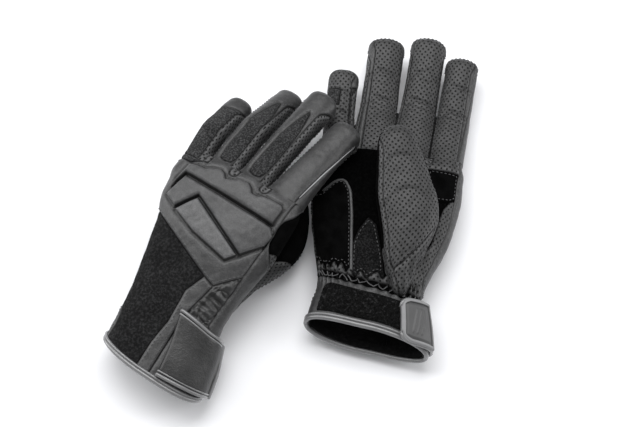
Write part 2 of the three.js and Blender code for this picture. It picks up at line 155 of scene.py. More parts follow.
def rounded_tube(x, z, over, half, thick, cap, power):
    """Rough distance to a tube with a rounded-rectangle section. over is how far past the end, in caps."""
    r = (abs(x / half) ** power + abs(z / thick) ** power + over ** power) ** (1 / power)
    return np.sqrt(x * x + z * z + (over * cap) ** 2) * (1 - 1 / np.maximum(r, 1e-3))


def wrap(angle):
    return (angle + 180) % 360 - 180


def halves(quads):
    """Two triangles for each four-sided face."""
    return np.concatenate([quads[:, [0, 1, 2]], quads[:, [0, 2, 3]]])


def sheet_faces(count, rows):
    """Four-sided faces of a sheet of count by rows points."""
    i, j = np.meshgrid(np.arange(count - 1), np.arange(rows - 1), indexing="ij")
    k = (i * rows + j).ravel()
    return np.stack([k, k + rows, k + rows + 1, k + 1], 1)


def triangle_edges(triangles):
    return np.concatenate([triangles[:, [0, 1]], triangles[:, [1, 2]], triangles[:, [2, 0]]])


def unit(vectors, least=1e-6):
    return vectors / np.maximum(np.linalg.norm(vectors, axis=1, keepdims=True), least)


def soft_min(a, b, k):
    h = np.clip(0.5 + 0.5 * (b - a) / k, 0, 1)
    return b + (a - b) * h - k * h * (1 - h)


def polygon_distance(points, outline):
    """Signed distance to a closed outline, negative inside."""
    p = np.asarray(points, float)
    corners = np.array(outline, float)
    best = np.full(len(p), 1e9)
    inside = np.zeros(len(p), bool)
    for a, b in zip(corners, np.roll(corners, -1, axis=0)):
        d = b - a
        t = np.clip(((p - a) @ d) / (d @ d), 0, 1)
        best = np.minimum(best, np.hypot(*(p - a - t[:, None] * d).T))
        crosses = ((a[1] > p[:, 1]) != (b[1] > p[:, 1]))
        level = a[0] + (p[:, 1] - a[1]) * d[0] / (d[1] if abs(d[1]) > 1e-9 else 1e-9)
        inside ^= crosses & (p[:, 0] < level)
    return np.where(inside, -best, best)


def path_distance(points, path):
    """Distance to an open path."""
    p = np.asarray(points, float)
    best = np.full(len(p), 1e9)
    corners = np.array(path, float)
    for a, b in zip(corners[:-1], corners[1:]):
        d = b - a
        t = np.clip(((p - a) @ d) / (d @ d), 0, 1)
        best = np.minimum(best, np.linalg.norm(p - a - t[:, None] * d, axis=1))
    return best


def wave_noise(p, scale, seed, octaves=3):
    """Soft repeatable noise from -1 to 1: crossed sine waves with bent fronts."""
    rng = np.random.default_rng(seed)
    total = np.zeros(len(p))
    weight = 0.0
    for octave in range(octaves):
        amount = 0.55 ** octave
        for _ in range(4):
            k = rng.normal(size=3)
            k *= 2 * math.pi / (scale * np.linalg.norm(k)) * 2.1 ** octave
            bend = rng.normal(size=3)
            bend *= 2 * math.pi / (2.7 * scale * np.linalg.norm(bend))
            phase = rng.uniform(0, 2 * math.pi, 2)
            total += amount * np.sin(p @ k + phase[0] + 1.3 * np.sin(p @ bend + phase[1]))
        weight += 4 * amount
    return total / weight * 1.8


# ------------------------------------------------------------------ one glove as a distance field
class Glove:
    def __init__(self, side):
        self.side = side
        self.spec = SPEC[side]
        turn = rotation(self.spec["yaw"], self.spec["pitch"])
        self.flip = -1 if self.spec["palm_up"] else 1
        self.axes = turn @ np.diag([1, 1, self.flip])
        joints = {j["name"]: j for j in frame["joints"]}
        hinge = np.array(joints[f"{side}_thumb_swing"]["pos_m"]) / MM
        self.origin = hinge - self.axes @ np.array(self.spec["thumb"][0], float)
        self.fingers = {name: self.finger_frame(name) for name in FINGERS}
        root, yaw, pitch, self.thumb_course, self.thumb_width = self.spec["thumb"]
        self.thumb = (np.array(root, float), rotation(yaw, pitch))

    def finger_frame(self, name):
        x, y, splay, low, high = self.spec["fingers"][name]
        width, height, proximal, distal = FINGER_SIZE[self.side][name]
        root = np.array([x, y, 0.0])
        near, far = rotation(splay, low), rotation(splay, high)
        pivot = root + near @ np.array([0, proximal, -PIVOT_DROP])
        bend = pivot + far @ np.array([0, 0, PIVOT_DROP])
        return {"root": root, "near": near, "far": far, "pivot": pivot, "bend": bend, "w": width, "h": height,
                "l1": proximal, "l2": distal}

    def world(self, p):
        return (np.asarray(p, float) @ self.axes.T + self.origin) * MM

    def section(self, y):
        return smooth_table(self.spec["hand"], y)

    def skin(self, angle, y, offset=0.0):
        """Points on the hand's section: angle 90 is the back, 0 the thumb side and -90 the palm."""
        angle, y = np.broadcast_arrays(np.asarray(angle, float), np.asarray(y, float))
        middle, a, b = self.section(y.ravel())
        middle, a, b = (v.reshape(y.shape) for v in (middle, a, b))
        c, s = np.cos(np.radians(angle)), np.sin(np.radians(angle))
        power = 2 / HAND_POWER
        return np.stack([middle + (a + offset) * np.sign(c) * abs(c) ** power, y,
                         (b + offset) * np.sign(s) * abs(s) ** power], axis=-1)

    def angle(self, p):
        middle, a, b = self.section(p[:, 1])
        u = (p[:, 0] - middle) / a
        w = p[:, 2] / b
        half = HAND_POWER / 2
        return np.degrees(np.arctan2(np.sign(w) * abs(w) ** half, np.sign(u) * abs(u) ** half))

    def lay(self, p):
        """Where the hand's skin would lie if it were spread out flat, for the patterns of its materials."""
        middle, _, height = self.section(p[:, 1])
        return np.stack([unrolled(p[:, 0] - middle, p[:, 2], height), p[:, 1], p[:, 2]], axis=1)

    def hem(self, angle):
        middle, back, thumb = self.spec["hem"]
        return middle + back * np.sin(np.radians(angle)) + thumb * np.cos(np.radians(angle))

    def hand_field(self, p):
        middle, a, b = self.section(p[:, 1])
        u, w = p[:, 0] - middle, p[:, 2]
        over = np.maximum(0, p[:, 1] - HAND_END) / HAND_CAP
        return rounded_tube(u, w, over, a, b, HAND_CAP, HAND_POWER)

    def finger_field(self, p, name):
        f = self.fingers[name]
        length = f["l1"] + f["l2"]
        x, s, z = self.finger_coordinates(p, name)
        half, thick = self.half_width(name, x, s), f["h"] * self.taper(name, s)
        over = np.maximum(0, s - (length - FINGER_CAP)) / FINGER_CAP + np.maximum(0, -s) / f["h"]
        return rounded_tube(x, z, over, half, thick, FINGER_CAP, FINGER_POWER)

    def taper(self, name, s):
        """How much wider or narrower than its named size a finger is, some way along it."""
        return 1.02 - 0.04 * smoothstep(0, self.fingers[name]["l1"] + self.fingers[name]["l2"], s)

    def half_width(self, name, x, s):
        flare, start, end, side = self.spec["flare"].get(name, (0, 0, 1, 0))
        flare = flare * (1 - smoothstep(start, end, s)) * (x * side >= 0)
        return self.fingers[name]["w"] * (self.taper(name, s) + flare)

    def finger_coordinates(self, p, name):
        """Sideways, along and height within a finger, following its bend."""
        f = self.fingers[name]
        near, far = (p - f["root"]) @ f["near"], (p - f["bend"]) @ f["far"]
        share = smoothstep(-7, 7, (near[:, 1] - f["l1"] + far[:, 1]) / 2)
        x = near[:, 0] * (1 - share) + far[:, 0] * share
        s = near[:, 1] * (1 - share) + (f["l1"] + far[:, 1]) * share
        return x, s, near[:, 2] * (1 - share) + far[:, 2] * share

    def body_field(self, p):
        fingers = None
        for name in FINGERS:
            one = self.finger_field(p, name)
            fingers = one if fingers is None else soft_min(fingers, one, 0.8)
        return soft_min(self.hand_field(p), fingers, 6.0)

    def thumb_axes(self, p):
        root, axes = self.thumb
        q = (p - root) @ axes
        (sideways,) = smooth_table(self.thumb_course, q[:, 1], 6.0)
        (width,) = smooth_table(self.thumb_width, q[:, 1])
        (height,) = smooth_table(THUMB_HEIGHT, q[:, 1])
        return q[:, 0] - sideways, q[:, 1], q[:, 2], width, height

    def thumb_field(self, p):
        u, s, w, a, b = self.thumb_axes(p)
        over = np.maximum(0, s - (THUMB_LENGTH - THUMB_CAP)) / THUMB_CAP + np.maximum(0, -2 - s) / 10
        tube = rounded_tube(u, w, over, a, b, 12, FINGER_POWER)
        return -soft_min(-tube, self.hand_field(p) + 2.0, 1.5)


def isosurface(field, low, high, step):
    """Vertices and triangles of the surface where the field is 0, with the vertices moved onto it."""
    axes = [np.arange(a, b + step, step) for a, b in zip(low, high)]
    shape = tuple(len(a) for a in axes)
    values = np.empty(shape, np.float32)
    for i, x in enumerate(axes[0]):
        yy, zz = np.meshgrid(axes[1], axes[2], indexing="ij")
        slab = np.stack([np.full(yy.size, x), yy.ravel(), zz.ravel()], axis=1)
        values[i] = field(slab).reshape(yy.shape)
    inside = values < 0
    count = np.zeros(tuple(n - 1 for n in shape), np.int8)
    for dx in (0, 1):
        for dy in (0, 1):
            for dz in (0, 1):
                count += inside[dx:shape[0] - 1 + dx, dy:shape[1] - 1 + dy, dz:shape[2] - 1 + dz]
    cells = np.argwhere((count > 0) & (count < 8))
    index = np.full(count.shape, -1, np.int64)
    index[tuple(cells.T)] = np.arange(len(cells))
    total, hits = np.zeros((len(cells), 3)), np.zeros(len(cells))
    for axis in range(3):
        others = [k for k in range(3) if k != axis]
        for d1 in (0, 1):
            for d2 in (0, 1):
                a = cells.copy()
                a[:, others[0]] += d1
                a[:, others[1]] += d2
                b = a.copy()
                b[:, axis] += 1
                va, vb = values[tuple(a.T)], values[tuple(b.T)]
                cross = (va < 0) != (vb < 0)
                t = np.where(cross, va / np.where(cross, va - vb, 1), 0)
                point = a.astype(float)
                point[:, axis] += t
                total += point * cross[:, None]
                hits += cross
    vertices = np.array(low) + step * total / hits[:, None]
    quads = []
    for axis in range(3):
        o1, o2 = [k for k in range(3) if k != axis]
        sl_a, sl_b = [slice(None)] * 3, [slice(None)] * 3
        sl_a[axis], sl_b[axis] = slice(0, -1), slice(1, None)
        change = inside[tuple(sl_a)] != inside[tuple(sl_b)]
        edges = np.argwhere(change)
        edges = edges[(edges[:, o1] > 0) & (edges[:, o2] > 0) & (edges[:, o1] < shape[o1] - 1)
                      & (edges[:, o2] < shape[o2] - 1)]
        ring = []
        for d1, d2 in ((1, 1), (0, 1), (0, 0), (1, 0)):
            cell = edges.copy()
            cell[:, o1] -= d1
            cell[:, o2] -= d2
            ring.append(index[tuple(cell.T)])
        quad = np.stack(ring, axis=1)
        outward = inside[tuple(edges.T)]
        if axis == 1:
            outward = ~outward
        quads.append(np.where(outward[:, None], quad, quad[:, ::-1]))
    quads = np.concatenate(quads)
    return settle(field, vertices, 3), halves(quads)


def gradient(field, p, h=0.35):
    out = np.empty_like(p)
    for axis in range(3):
        step = np.zeros(3)
        step[axis] = h
        out[:, axis] = (field(p + step) - field(p - step)) / (2 * h)
    return out


def normals_of(field, p):
    return unit(gradient(field, p))


def settle(field, p, rounds):
    """Moves points onto the surface along the field's slope."""
    for _ in range(rounds):
        g = gradient(field, p)
        size = np.maximum((g * g).sum(axis=1), 0.15)
        p = p - np.clip(field(p) / size, -1.5, 1.5)[:, None] * g
    return p


def onto_skin(field, inner, outer):
    """The places on the lines from inner to outer points where the field is 0."""
    for _ in range(18):
        middle = (inner + outer) / 2
        inside = (field(middle) < 0)[:, None]
        inner, outer = np.where(inside, middle, inner), np.where(inside, outer, middle)
    return inner


# ------------------------------------------------------------------ pieces of skin
def split(skin, f):
    """The parts of a surface where f is below 0 and above it."""
    return clip(*skin, f), clip(*skin, -f)


def clip(data, triangles, f):
    """The part of a surface where f is below 0, cut cleanly along f = 0. All columns of data come along."""
    inside = f < 0
    count = inside[triangles].sum(axis=1)
    mixed = (count == 1) | (count == 2)
    corner, single = triangles[mixed], count[mixed] == 1
    odd = np.where(single, inside[corner].argmax(axis=1), inside[corner].argmin(axis=1))
    a, b, c = np.take_along_axis(corner, (odd[:, None] + np.arange(3)) % 3, axis=1).T
    edges = np.sort(np.concatenate([np.stack([a, b], 1), np.stack([a, c], 1)]), axis=1)
    unique, back = np.unique(edges, axis=0, return_inverse=True)
    back = back.ravel() + len(data)
    low, high = unique.T
    share = (f[low] / (f[low] - f[high]))[:, None]
    points = np.concatenate([data, data[low] + share * (data[high] - data[low])])
    ab, ac = back[: len(a)], back[len(a):]
    parts = [
        triangles[count == 3],
        np.stack([a, ab, ac], 1)[single],
        np.stack([ab, b, c], 1)[~single],
        np.stack([ab, c, ac], 1)[~single],
    ]
    kept = np.concatenate(parts)
    used, again = np.unique(kept, return_inverse=True)
    return points[used], again.reshape(-1, 3)


def refine(data, triangles):
    """Splits every triangle into four."""
    edges = np.sort(triangle_edges(triangles), axis=1)
    unique, back = np.unique(edges, axis=0, return_inverse=True)
    ab, bc, ca = (back.ravel() + len(data)).reshape(3, -1)
    a, b, c = triangles.T
    data = np.concatenate([data, (data[unique[:, 0]] + data[unique[:, 1]]) / 2])
    fresh = [np.stack(corners, 1) for corners in ((a, ab, ca), (ab, b, bc), (ca, bc, c), (ab, bc, ca))]
    return data, np.concatenate(fresh)


def rim_edges(triangles):
    """Edges that only one triangle uses, in that triangle's direction."""
    edges = triangle_edges(triangles)
    low, high = edges.min(axis=1).astype(np.int64), edges.max(axis=1).astype(np.int64)
    _, first, count = np.unique(low * (high.max() + 1) + high, return_index=True, return_counts=True)
    return edges[first[count == 1]]


def nearest_distance(points, targets):
    tree = mathutils.kdtree.KDTree(len(targets))
    for i, target in enumerate(targets.tolist()):
        tree.insert(target, i)
    tree.balance()
    return np.array([tree.find(p)[2] for p in points.tolist()])


def contours(points, triangles, f, level):
    """Lines where f equals level, each a list of points."""
    f = f - level
    crossing = triangles[(f[triangles] < 0).any(axis=1) & (f[triangles] >= 0).any(axis=1)]
    links, spots = {}, {}
    for triangle in crossing.tolist():
        ends = []
        for i, j in ((0, 1), (1, 2), (2, 0)):
            a, b = sorted((triangle[i], triangle[j]))
            if (f[a] < 0) != (f[b] < 0):
                if (a, b) not in spots:
                    spots[a, b] = points[a] + (points[b] - points[a]) * (f[a] / (f[a] - f[b]))
                ends.append((a, b))
        if len(ends) == 2:
            links.setdefault(ends[0], []).append(ends[1])
            links.setdefault(ends[1], []).append(ends[0])
    lines, left = [], dict.fromkeys(sorted(links, key=lambda k: (len(links[k]), k)))
    while left:
        here = next(iter(left))
        line = []
        while here is not None:
            left.pop(here, None)
            line.append(spots[here])
            here = next((k for k in links[here] if k in left), None)
        if len(line) > 4:
            lines.append(np.array(line))
    return lines


def resample(line, pitch):
    length = np.concatenate([[0], np.cumsum(np.linalg.norm(np.diff(line[:, :3], axis=0), axis=1))])
    count = max(2, int(length[-1] / pitch) + 1)
    at = np.linspace(0, length[-1], count)
    return np.stack([np.interp(at, length, line[:, k]) for k in range(line.shape[1])], axis=1)


# ------------------------------------------------------------------ solid little shapes
def sweep(path, radius, sides=8, squash=1.0, up=None):
    """A tube along a path, with closed ends. Radius may vary along it."""
    path = np.asarray(path, float)
    radius = np.broadcast_to(radius, (len(path),))
    along = np.gradient(path, axis=0)
    along = unit(along, 1e-9)
    if up is None:
        up = np.zeros_like(path)
        side = np.cross(along[0], [0, 0, 1.0])
        if np.linalg.norm(side) < 0.1:
            side = np.cross(along[0], [1.0, 0, 0])
        for i in range(len(path)):
            side = side - along[i] * (side @ along[i])
            side /= np.linalg.norm(side)
            up[i] = np.cross(side, along[i])
    side = unit(np.cross(along, up), 1e-9)
    up = np.cross(side, along)
    angle = np.arange(sides) * 2 * math.pi / sides
    ring = (path[:, None] + radius[:, None, None] * (np.cos(angle)[None, :, None] * side[:, None]
            + squash * np.sin(angle)[None, :, None] * up[:, None]))
    points = np.concatenate([ring.reshape(-1, 3), path[:1], path[-1:]])
    i, j = np.meshgrid(np.arange(len(path) - 1), np.arange(sides), indexing="ij")
    a, b = (i * sides + j).ravel(), (i * sides + (j + 1) % sides).ravel()
    c, d = a + sides, b + sides
    first, last = len(path) * sides, len(path) * sides + 1
    k = np.arange(sides)
    end = (len(path) - 1) * sides
    triangles = np.concatenate([
        np.stack([a, b, d], 1), np.stack([a, d, c], 1),
        np.stack([np.full(sides, first), (k + 1) % sides, k], 1),
        np.stack([np.full(sides, last), end + k, end + (k + 1) % sides], 1)])
    return points, triangles


def join(parts):
    points, triangles, start = [], [], 0
    for p, t in parts:
        points.append(p)
        triangles.append(t + start)
        start += len(p)
    return np.concatenate(points), np.concatenate(triangles)


STITCH_ALONG = np.array([0.0, 0.12, 0.5, 0.88, 1.0])
STITCH_RISE = np.array([-0.15, 0.12, 0.22, 0.12, -0.15])
STITCH_WIDTH = np.array([0.5, 0.95, 1.1, 0.95, 0.5])


def stitch_row(line, length=2.0, gap=1.1, radius=0.27):
    """Thread showing along a line whose columns are a point and its normal."""
    spots = resample(line, (length + gap) / 2)
    parts = []
    for i in range(0, len(spots) - 1, 2):
        a, b = spots[i], spots[i + 1]
        ends = a[:3] + (b[:3] - a[:3]) * STITCH_ALONG[:, None] * length / (length + gap) * 1.6
        path = ends + a[3:6] * STITCH_RISE[:, None]
        parts.append(sweep(path, radius * STITCH_WIDTH, 6, up=np.repeat(a[None, 3:6], 5, axis=0)))
    return parts


# ------------------------------------------------------------------ materials
class Shader:
    """Builds one procedural material out of nodes."""

    def __init__(self, name):
        self.material = bpy.data.materials.new(name)
        self.material.use_nodes = True
        self.nodes = self.material.node_tree.nodes
        self.links = self.material.node_tree.links
        self.bsdf = next(n for n in self.nodes if n.type == "BSDF_PRINCIPLED")
        self.place = self.nodes.new("ShaderNodeTexCoord").outputs["Object"]

    def wire(self, value, socket):
        if isinstance(value, bpy.types.NodeSocket):
            self.links.new(value, socket)
        else:
            socket.default_value = value

    def math(self, operation, a, b=0.0):
        node = self.nodes.new("ShaderNodeMath")
        node.operation = operation
        self.wire(a, node.inputs[0])
        self.wire(b, node.inputs[1])
        return node.outputs[0]

    def times(self, a, b):
        return self.math("MULTIPLY", a, b)

    def plus(self, a, b):
        return self.math("ADD", a, b)

    def vector(self, operation, a, b=(0, 0, 0)):
        node = self.nodes.new("ShaderNodeVectorMath")
        node.operation = operation
        self.wire(a, node.inputs[0])
        self.wire(b, node.inputs[1])
        return node.outputs["Value"] if operation in ("LENGTH", "DISTANCE") else node.outputs["Vector"]

    def noise(self, size_mm, detail=3.0, rough=0.55):
        node = self.nodes.new("ShaderNodeTexNoise")
        node.inputs["Scale"].default_value = 1000 / size_mm
        node.inputs["Detail"].default_value = detail
        node.inputs["Roughness"].default_value = rough
        self.wire(self.place, node.inputs["Vector"])
        return node.outputs["Fac"]

    def cells(self, size_mm):
        node = self.nodes.new("ShaderNodeTexVoronoi")
        node.inputs["Scale"].default_value = 1000 / size_mm
        self.wire(self.place, node.inputs["Vector"])
        return node.outputs["Distance"]

    def attribute(self, name):
        node = self.nodes.new("ShaderNodeAttribute")
        node.attribute_name = name
        return node

    def ramp(self, value, low, high, out_low=0.0, out_high=1.0):
        node = self.nodes.new("ShaderNodeMapRange")
        node.interpolation_type = "SMOOTHSTEP"
        self.wire(value, node.inputs["Value"])
        numbers = {"From Min": low, "From Max": high, "To Min": out_low, "To Max": out_high}
        for name, number in numbers.items():
            self.wire(number, node.inputs[name])
        return node.outputs["Result"]

    def grey(self, level):
        """A nearly neutral colour whose brightness is a socket or a number."""
        node = self.nodes.new("ShaderNodeCombineColor")
        self.wire(level, node.inputs[0])
        self.wire(self.times(level, 1.005), node.inputs[1])
        self.wire(self.times(level, 1.03), node.inputs[2])
        return node.outputs[0]

    def bump(self, height, distance_mm, strength=1.0, under=None):
        node = self.nodes.new("ShaderNodeBump")
        node.inputs["Strength"].default_value = strength
        node.inputs["Distance"].default_value = distance_mm * MM
        self.wire(height, node.inputs["Height"])
        if under is not None:
            self.wire(under, node.inputs["Normal"])
        return node.outputs["Normal"]

    def finish(self, level, roughness, normal=None, sheen=0.0, coat=0.0, specular=0.5):
        self.wire(self.grey(level), self.bsdf.inputs["Base Color"])
        self.wire(roughness, self.bsdf.inputs["Roughness"])
        self.bsdf.inputs["Specular IOR Level"].default_value = specular
        self.bsdf.inputs["Sheen Weight"].default_value = sheen
        self.bsdf.inputs["Sheen Roughness"].default_value = 0.5
        self.bsdf.inputs["Coat Weight"].default_value = coat
        self.bsdf.inputs["Coat Roughness"].default_value = 0.25
        if normal is not None:
            self.wire(normal, self.bsdf.inputs["Normal"])
        return self.material


def leather(name, level, roughness=0.46, rim=0.7, holes=False, grain=1.0):
    """Soft grained leather, with a painted highlight where it rolls over a seam (rim sets how strong) and
    painted shade right along the seam. With holes it is punched all over.
    """
    s = Shader(name)
    cells = s.cells(1.0)
    pores = s.noise(0.5, 2)
    cloud = s.ramp(s.noise(17, 4), 0.3, 0.7, 0.84, 1.16)
    edge = s.attribute("edge").outputs["Fac"]
    # painted highlight: paler 0.5 to 3.6 mm from a seam, where the rolled edge would catch the light
    rim_highlight = s.times(s.ramp(edge, 0.5, 1.3), s.ramp(edge, 1.6, 3.6, 1.0, 0.0))
    # painted shade: darker within 1 mm of a seam and on the skirts, where the seam valley would lie in shadow
    seam_shade = s.ramp(edge, 0.15, 0.95, 0.1, 1.0)
    mottle = s.ramp(s.noise(3.4, 3, 0.6), 0.32, 0.68, 1 - 0.2 * grain, 1 + 0.2 * grain)
    tone = s.times(s.times(cloud, level), s.plus(s.times(rim_highlight, rim), 1.0))
    tone = s.times(tone, s.ramp(cells, 0.1, 0.75, 1 - 0.3 * grain, 1 + 0.25 * grain))
    tone = s.times(s.times(tone, mottle), seam_shade)
    rough = s.plus(s.times(pores, 0.14), roughness - 0.07)
    normal = s.bump(s.plus(cells, s.times(pores, 0.6)), 0.16 * grain, 0.5)
    normal = s.bump(s.noise(6, 3), 0.7 * grain, 0.45, normal)
    if holes:
        hole = punched(s)
        tone = s.times(tone, s.math("SUBTRACT", 1.0, s.times(hole, 0.97)))
        rough = s.plus(rough, s.times(hole, 0.45))
        normal = s.bump(s.math("SUBTRACT", 1.0, hole), 0.5, 0.8, normal)
    return s.finish(tone, rough, normal, sheen=0.03, coat=0.04, specular=0.4)


def punched(s, pitch=4.6, radius=0.82, soft=0.08):
    """1 inside the punched holes: a square grid of dots and a second one halfway between."""
    laid = s.vector("DIVIDE", s.attribute("pattern").outputs["Vector"], (pitch, pitch, 1e9))
    far = None
    for shift in ((0.5, 0.5, 0.5), (0.0, 0.0, 0.5)):
        cell = s.vector("FRACTION", s.vector("ADD", laid, shift))
        away = s.vector("DISTANCE", s.vector("MULTIPLY", cell, (1, 1, 0)), (0.5, 0.5, 0))
        far = away if far is None else s.math("MINIMUM", far, away)
    return s.ramp(far, (radius + soft) / pitch, (radius - soft) / pitch)


def textile(name, level, speckle=0.5, weave_mm=0.85, sheen=0.25, fleck=1.9):
    """Knitted stretch cloth: a fine rib with paler flecks."""
    s = Shader(name)
    laid = s.attribute("pattern").outputs["Vector"]
    fine = s.vector("MULTIPLY", laid, (2 * math.pi / weave_mm,) * 3)
    split = s.nodes.new("ShaderNodeSeparateXYZ")
    s.wire(fine, split.inputs[0])
    weave = s.times(s.math("SINE", split.outputs[0]), s.math("SINE", split.outputs[1]))
    flecks = s.ramp(s.noise(fleck, 3, 0.7), 0.42, 0.68)
    cloud = s.ramp(s.noise(16, 2), 0.3, 0.7, 0.85, 1.15)
    edge = s.attribute("edge").outputs["Fac"]
    ground = s.plus(s.times(flecks, level * speckle * 2.2), level * (1 - speckle * 0.55))
    tone = s.times(cloud, ground)
    tone = s.times(tone, s.plus(s.times(weave, 0.22), 0.95))
    # painted shade: darker within 1 mm of a seam and on the skirts, where the seam would lie in shadow
    tone = s.times(tone, s.ramp(edge, 0.0, 1.0, 0.4, 1.0))
    height = s.plus(s.times(weave, 0.6), flecks)
    return s.finish(tone, 0.93, s.bump(height, 0.22, 0.7), sheen=sheen * level * 8, specular=0.015)


def suede(name, level):
    """Short-napped split leather, brushed lighter and darker in patches."""
    s = Shader(name)
    nap = s.noise(0.7, 4, 0.7)
    brushed = s.ramp(s.noise(11, 3), 0.35, 0.7, 0.6, 1.5)
    edge = s.attribute("edge").outputs["Fac"]
    tone = s.times(s.times(brushed, level), s.ramp(nap, 0.3, 0.7, 0.75, 1.25))
    # painted shade: darker within 1.2 mm of a seam and on the skirts, where the seam would lie in shadow
    tone = s.times(tone, s.ramp(edge, 0.0, 1.2, 0.5, 1.0))
    return s.finish(tone, 0.9, s.bump(nap, 0.2, 0.5), sheen=0.004, specular=0.02)


def looped(name, level):
    """The fuzzy half of a hook and loop fastener."""
    s = Shader(name)
    tufts = s.ramp(s.noise(2.4, 4, 0.75), 0.4, 0.62)
    bright = s.ramp(s.noise(1.6, 3, 0.8), 0.48, 0.66)
    tone = s.times(s.plus(s.times(bright, 9.0), 0.5), s.times(tufts, level))
    tone = s.plus(tone, level * 0.3)
    return s.finish(tone, 0.95, s.bump(tufts, 0.9, 0.9), sheen=0.02, specular=0.08)


def plain(name, level, roughness, coat=0.0, grain_mm=0.8):
    """One even tone with a fine grain, glossy under a coat."""
    s = Shader(name)
    tone = s.times(s.ramp(s.noise(9, 3), 0.3, 0.7, 0.9, 1.1), level)
    grain = s.noise(grain_mm, 3)
    rough = s.plus(s.times(grain, 0.1), roughness - 0.05)
    return s.finish(tone, rough, s.bump(grain, 0.08, 0.5), coat=coat)


def tab_rubber(name, level):
    """Moulded rubber with a paler raised border, and painted shade in the groove inside it."""
    s = Shader(name)
    edge = s.attribute("edge").outputs["Fac"]
    # dark from 3.1 to 4.2 mm in, between border and inner panel: painted shade in the groove that tab_shape
    # dips
    border = s.ramp(edge, 2.7, 3.1, 3.6, 0.3)
    inner = s.times(s.ramp(edge, 3.5, 4.2), 0.65)
    cloud = s.ramp(s.noise(9, 3), 0.3, 0.7, level * 0.93, level * 1.07)
    tone = s.times(s.plus(border, inner), cloud)
    grain = s.noise(0.7, 3)
    return s.finish(tone, s.plus(s.times(grain, 0.1), 0.45), s.bump(grain, 0.08, 0.5))


def make_materials():
    return {
        "leather": leather("glove leather", 0.022),
        "pad": leather("moulded pad leather", 0.04, 0.5, 0.3, grain=0.7),
        "pad_low": leather("lower pad leather", 0.064, 0.5, 0.25, grain=0.7),
        "strap": leather("strap leather", 0.013, 0.4, 0.3),
        "perforated": leather("perforated leather", 0.023, 0.52, 0.7, holes=True),
        "fourchette": leather("fourchette leather", 0.03, 0.62, 1.2, holes=True),
        "textile": textile("stretch textile", 0.0145, 0.6),
        "inset": textile("finger inset textile", 0.03, 0.8, fleck=1.2),
        "palm_knit": textile("flecked palm knit", 0.0085, 0.9, fleck=1.3),
        "palm_textile": textile("palm textile", 0.0012, 0.6, sheen=0.02),
        "suede": suede("palm suede", 0.0016),
        "loop": looped("loop fastener", 0.0035),
        "lining": textile("lining cloth", 0.008, 0.3, 1.2, sheen=0.05),
        # a glossy cord; its pale base colour also paints the bright highlight lines along the hem and strap
        # cords
        "piping": plain("glossy piping", 0.13, 0.28, 0.9),
        # its pale colour also paints the thin highlight line along the index seam
        "light_piping": plain("light piping", 0.3, 0.4),
        "rubber": tab_rubber("moulded tab rubber", 0.052),
        "thread": plain("sewing thread", 0.06, 0.6, grain_mm=0.4),
    }


MATERIALS = make_materials()


# ------------------------------------------------------------------ putting pieces into the scene
STITCH_INSET = 1.9  # from the seam
FAR_FROM_SEAM = 99.0
threads = {}  # the stitches of each glove's bodies, gathered until they are joined into one piece


def put(glove, name, points, triangles, surface, facing=None, **columns):
    """A mesh object from points in the glove's frame.

    Each extra column becomes an attribute for the materials. facing gives the normals to shade with, where a
    piece has to run on smoothly into its neighbour.
    """
    mesh = bpy.data.meshes.new(name)
    if glove.flip < 0:
        triangles = triangles[:, ::-1]
    where = glove.world(points)
    where[:, 2] = np.maximum(where[:, 2], LOWEST)
    mesh.vertices.add(len(where))
    mesh.vertices.foreach_set("co", where.astype(np.float32).ravel())
    mesh.loops.add(triangles.size)
    mesh.loops.foreach_set("vertex_index", triangles.astype(np.int32).ravel())
    mesh.polygons.add(len(triangles))
    mesh.polygons.foreach_set("loop_start", np.arange(0, triangles.size, 3, dtype=np.int32))
    mesh.update(calc_edges=True)
    mesh.validate()
    mesh.shade_smooth()
    if facing is not None:
        own = np.empty(len(where) * 3, np.float32)
        mesh.vertices.foreach_get("normal", own)
        chosen, towards = facing
        own = own.reshape(-1, 3)
        own[chosen] = towards @ glove.axes.T
        mesh.normals_split_custom_set_from_vertices(own.tolist())
    for key, value in columns.items():
        value = np.asarray(value, np.float32)
        kind = "FLOAT" if value.ndim == 1 else "FLOAT_VECTOR"
        attribute = mesh.attributes.new(key, kind, "POINT")
        attribute.data.foreach_set("value" if value.ndim == 1 else "vector", value.ravel())
    mesh.materials.append(MATERIALS[surface])
    piece = bpy.data.objects.new(name, mesh)
    bpy.context.scene.collection.objects.link(piece)
    return piece


def bend_ends(glove, body):
    """Two points either side of a body's joint, along the glove. fold is the joint of the strap."""
    if body == "fold":
        return [glove.skin(angle, -17.0, 4.0) for angle in (STRAP_FOLD + 9, STRAP_FOLD - 9)]
    if body == "thumb":
        root, axes = glove.thumb
        return [root + axes @ np.array([0, s, 0.0]) for s in (-2, 22)]
    f = glove.fingers[body]
    along = f["near"][:, 1] + f["far"][:, 1]
    along /= np.linalg.norm(along)
    return [f["bend"] + along * s for s in (-11, 11)]


def settle_on(piece, glove, body, replaces=()):
    """The piece follows the hand or the strap; on any other body it stays put, with its place baked into its
    points.
    """
    if body in ("hand", "strap"):
        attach(piece, f"{glove.side}_{body}")
    else:
        ends = [tuple(glove.world(p)) for p in bend_ends(glove, body)]
        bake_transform(piece)
    if replaces:
        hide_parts(*[f"{glove.side}_{node}" for node in replaces])
    return piece


def gather_threads(glove, body, placed, normals, triangles, edge, stitches):
    """Keeps a row of stitches along a seam, for the stretches where stitches() is true."""
    full = np.concatenate([placed, normals], axis=1)
    for line in contours(full, triangles, edge, STITCH_INSET):
        mask = stitches(line[:, :3])
        for run in np.split(line, np.flatnonzero(np.diff(mask.astype(int))) + 1):
            if len(run) > 5 and stitches(run[:, :3]).mean() > 0.5:
                threads.setdefault((glove.side, body), []).extend(stitch_row(run))


